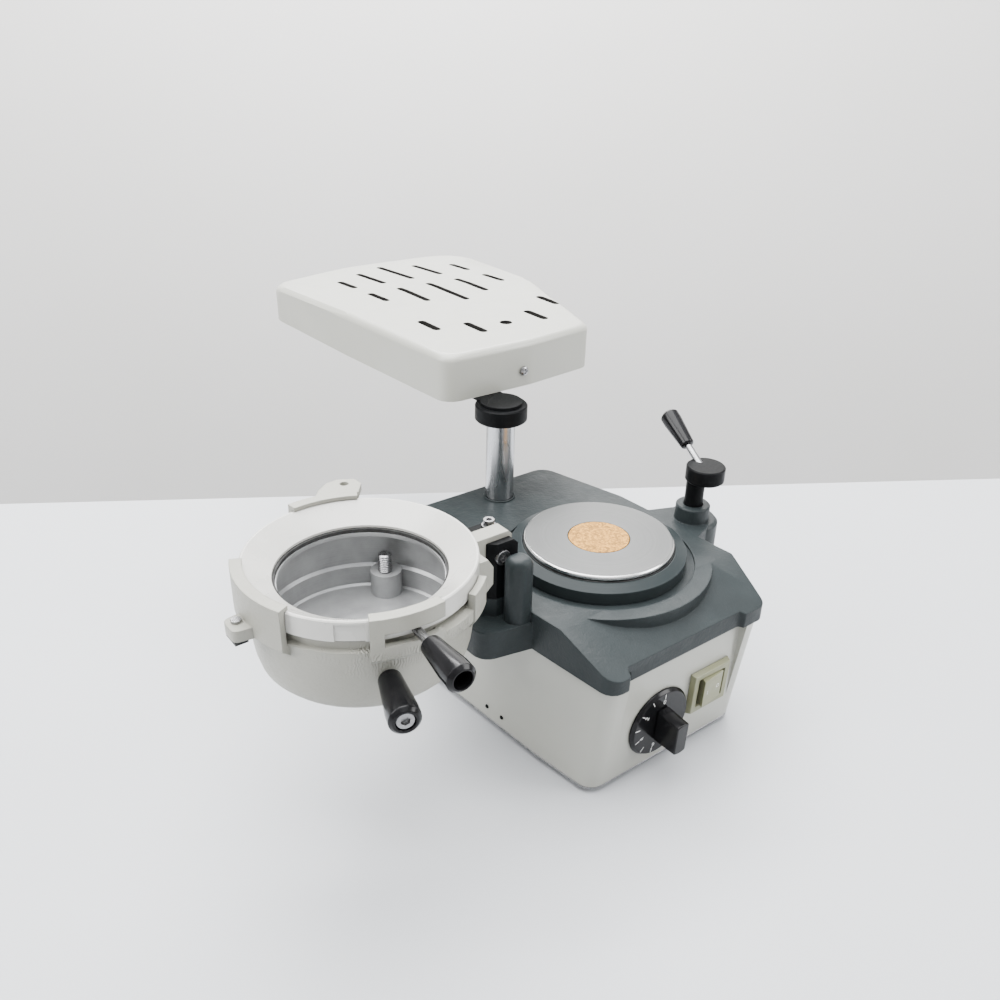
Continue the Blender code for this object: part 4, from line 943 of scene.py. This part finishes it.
class MOULDING_OT_stage(bpy.types.Operator):
    """Lays the table and backdrop, and sets up the lights and the camera"""

    bl_idname = "moulding.stage"
    bl_label = "Stage"

    def execute(self, context):
        settings = context.scene.moulding_stage
        self.lay_table()
        self.hang_backdrop()
        self.light(context, settings)
        self.place_camera(context, settings)
        return {"FINISHED"}

    def lay_table(self):
        """A pale table whose far edge runs behind the object."""
        f = Finish("table_top", specular=0.3)
        base = f.mix(f.span(f.noise(1.6, 3), 0.3, 0.7), paint(173, 175, 178), paint(177, 179, 182))
        f.colour(base)
        f.rough(f.span(f.noise(4, 3), 0.3, 0.7, 0.5, 0.6))
        select_nothing()
        bpy.ops.mesh.primitive_cube_add(size=1, scale=TABLE_SIZE)
        bpy.ops.object.transform_apply(scale=True)
        table = bpy.context.object
        table.name = "table"
        bevel = table.modifiers.new("edge", "BEVEL")
        bevel.width = 0.004
        bevel.segments = 3
        bpy.ops.object.modifier_apply(modifier=bevel.name)
        turn = Matrix.Rotation(TABLE_TURN, 4, "Z")
        behind_edge = Matrix.Translation((0, -TABLE_SIZE[1] / 2, 0))
        table.data.transform(Matrix.Translation(TABLE_EDGE) @ turn @ behind_edge)
        table.data.materials.append(f.material)

    def hang_backdrop(self):
        """A tall pale wall that curves round well behind the table."""
        f = Finish("backdrop", specular=0.1)
        f.colour(f.mix(f.span(f.noise(0.8, 3), 0.3, 0.7), paint(178, 177, 175), paint(181, 180, 179)))
        f.rough(0.9)
        select_nothing()
        bpy.ops.mesh.primitive_cylinder_add(
            vertices=96, radius=BACKDROP_R, depth=BACKDROP_HEIGHT, end_fill_type="NOTHING")
        wall = bpy.context.object
        wall.name = "backdrop"
        wall.data.materials.append(f.material)
        bpy.ops.object.shade_smooth()

    def light(self, context, settings):
        """Light from all round, and four broad lights."""
        world = bpy.data.worlds.new("room")
        world.use_nodes = True
        world.node_tree.nodes["Background"].inputs["Color"].default_value = (0.95, 0.97, 1.0, 1.0)
        world.node_tree.nodes["Background"].inputs["Strength"].default_value = settings.room_light
        context.scene.world = world
        self.add_light("top_light", settings.top_light, 1.8, (-0.2, 0.3, 1.9), (-0.05, 0.1, 0.0))
        self.add_light("side_light", settings.key_light, 1.2, (1.5, -1.5, 1.3), (-0.05, 0.0, 0.1))
        self.add_light("left_light", settings.left_light, 1.0, (-1.7, 0.5, 1.2), (-0.1, 0.1, 0.15))
        self.add_light("wall_light", settings.wall_light, 2.4, (1.3, 2.1, 2.6), (2.3, 3.8, -0.2))

    def add_light(self, name, power, size, place, target):
        """A square light at place, turned towards target."""
        data = bpy.data.lights.new(name, "AREA")
        data.energy = power
        data.size = size
        lamp = bpy.data.objects.new(name, data)
        lamp.location = place
        lamp.visible_camera = False
        lamp.rotation_euler = (Vector(target) - Vector(place)).to_track_quat("-Z", "Y").to_euler()
        bpy.context.scene.collection.objects.link(lamp)

    def place_camera(self, context, settings):
        """Sets up the camera in front of the object, to its left and above it."""
        data = bpy.data.cameras.new("camera")
        data.lens = settings.lens
        data.sensor_width = 36
        data.clip_start = 0.01
        camera = bpy.data.objects.new("camera", data)
        turn = Matrix((CAMERA_RIGHT, CAMERA_UP, -Vector(CAMERA_AHEAD))).transposed().to_4x4()
        camera.matrix_world = Matrix.Translation(CAMERA_PLACE) @ turn
        context.scene.collection.objects.link(camera)
        context.scene.camera = camera


STEPS = (
    ("finishes", MOULDING_OT_finishes), ("castings", MOULDING_OT_castings),
    ("sheet_metal", MOULDING_OT_sheet_metal), ("platform", MOULDING_OT_platform),
    ("column_and_hinge", MOULDING_OT_column_and_hinge), ("grips", MOULDING_OT_grips),
    ("switch", MOULDING_OT_switch), ("dial", MOULDING_OT_dial), ("air_screw", MOULDING_OT_air_screw),
    ("stage", MOULDING_OT_stage),
)


class MOULDING_PT_panel(bpy.types.Panel):
    """Lists the settings and the steps"""

    bl_idname = "MOULDING_PT_panel"
    bl_label = "Pressure moulding machine"
    bl_space_type = "VIEW_3D"
    bl_region_type = "UI"
    bl_category = "Moulding"

    def draw(self, context):
        for settings in (context.scene.moulding_finish, context.scene.moulding_detail,
                         context.scene.moulding_stage):
            column = self.layout.column()
            for name in settings.__annotations__:
                column.prop(settings, name)
        for _, operator in STEPS:
            self.layout.operator(operator.bl_idname)


CLASSES = (FinishSettings, DetailSettings, StageSettings, *(step for _, step in STEPS), MOULDING_PT_panel)


def register():
    """Registers the settings, the steps and the panel."""
    for each in CLASSES:
        bpy.utils.register_class(each)
    bpy.types.Scene.moulding_finish = PointerProperty(type=FinishSettings)
    bpy.types.Scene.moulding_detail = PointerProperty(type=DetailSettings)
    bpy.types.Scene.moulding_stage = PointerProperty(type=StageSettings)


def unregister():
    """Takes away what register() added."""
    del bpy.types.Scene.moulding_stage
    del bpy.types.Scene.moulding_detail
    del bpy.types.Scene.moulding_finish
    for each in reversed(CLASSES):
        bpy.utils.unregister_class(each)


def main():
    """Runs every step in order."""
    register()
    for name, _ in STEPS:
        getattr(bpy.ops.moulding, name)()


if __name__ == "__main__":
    main()
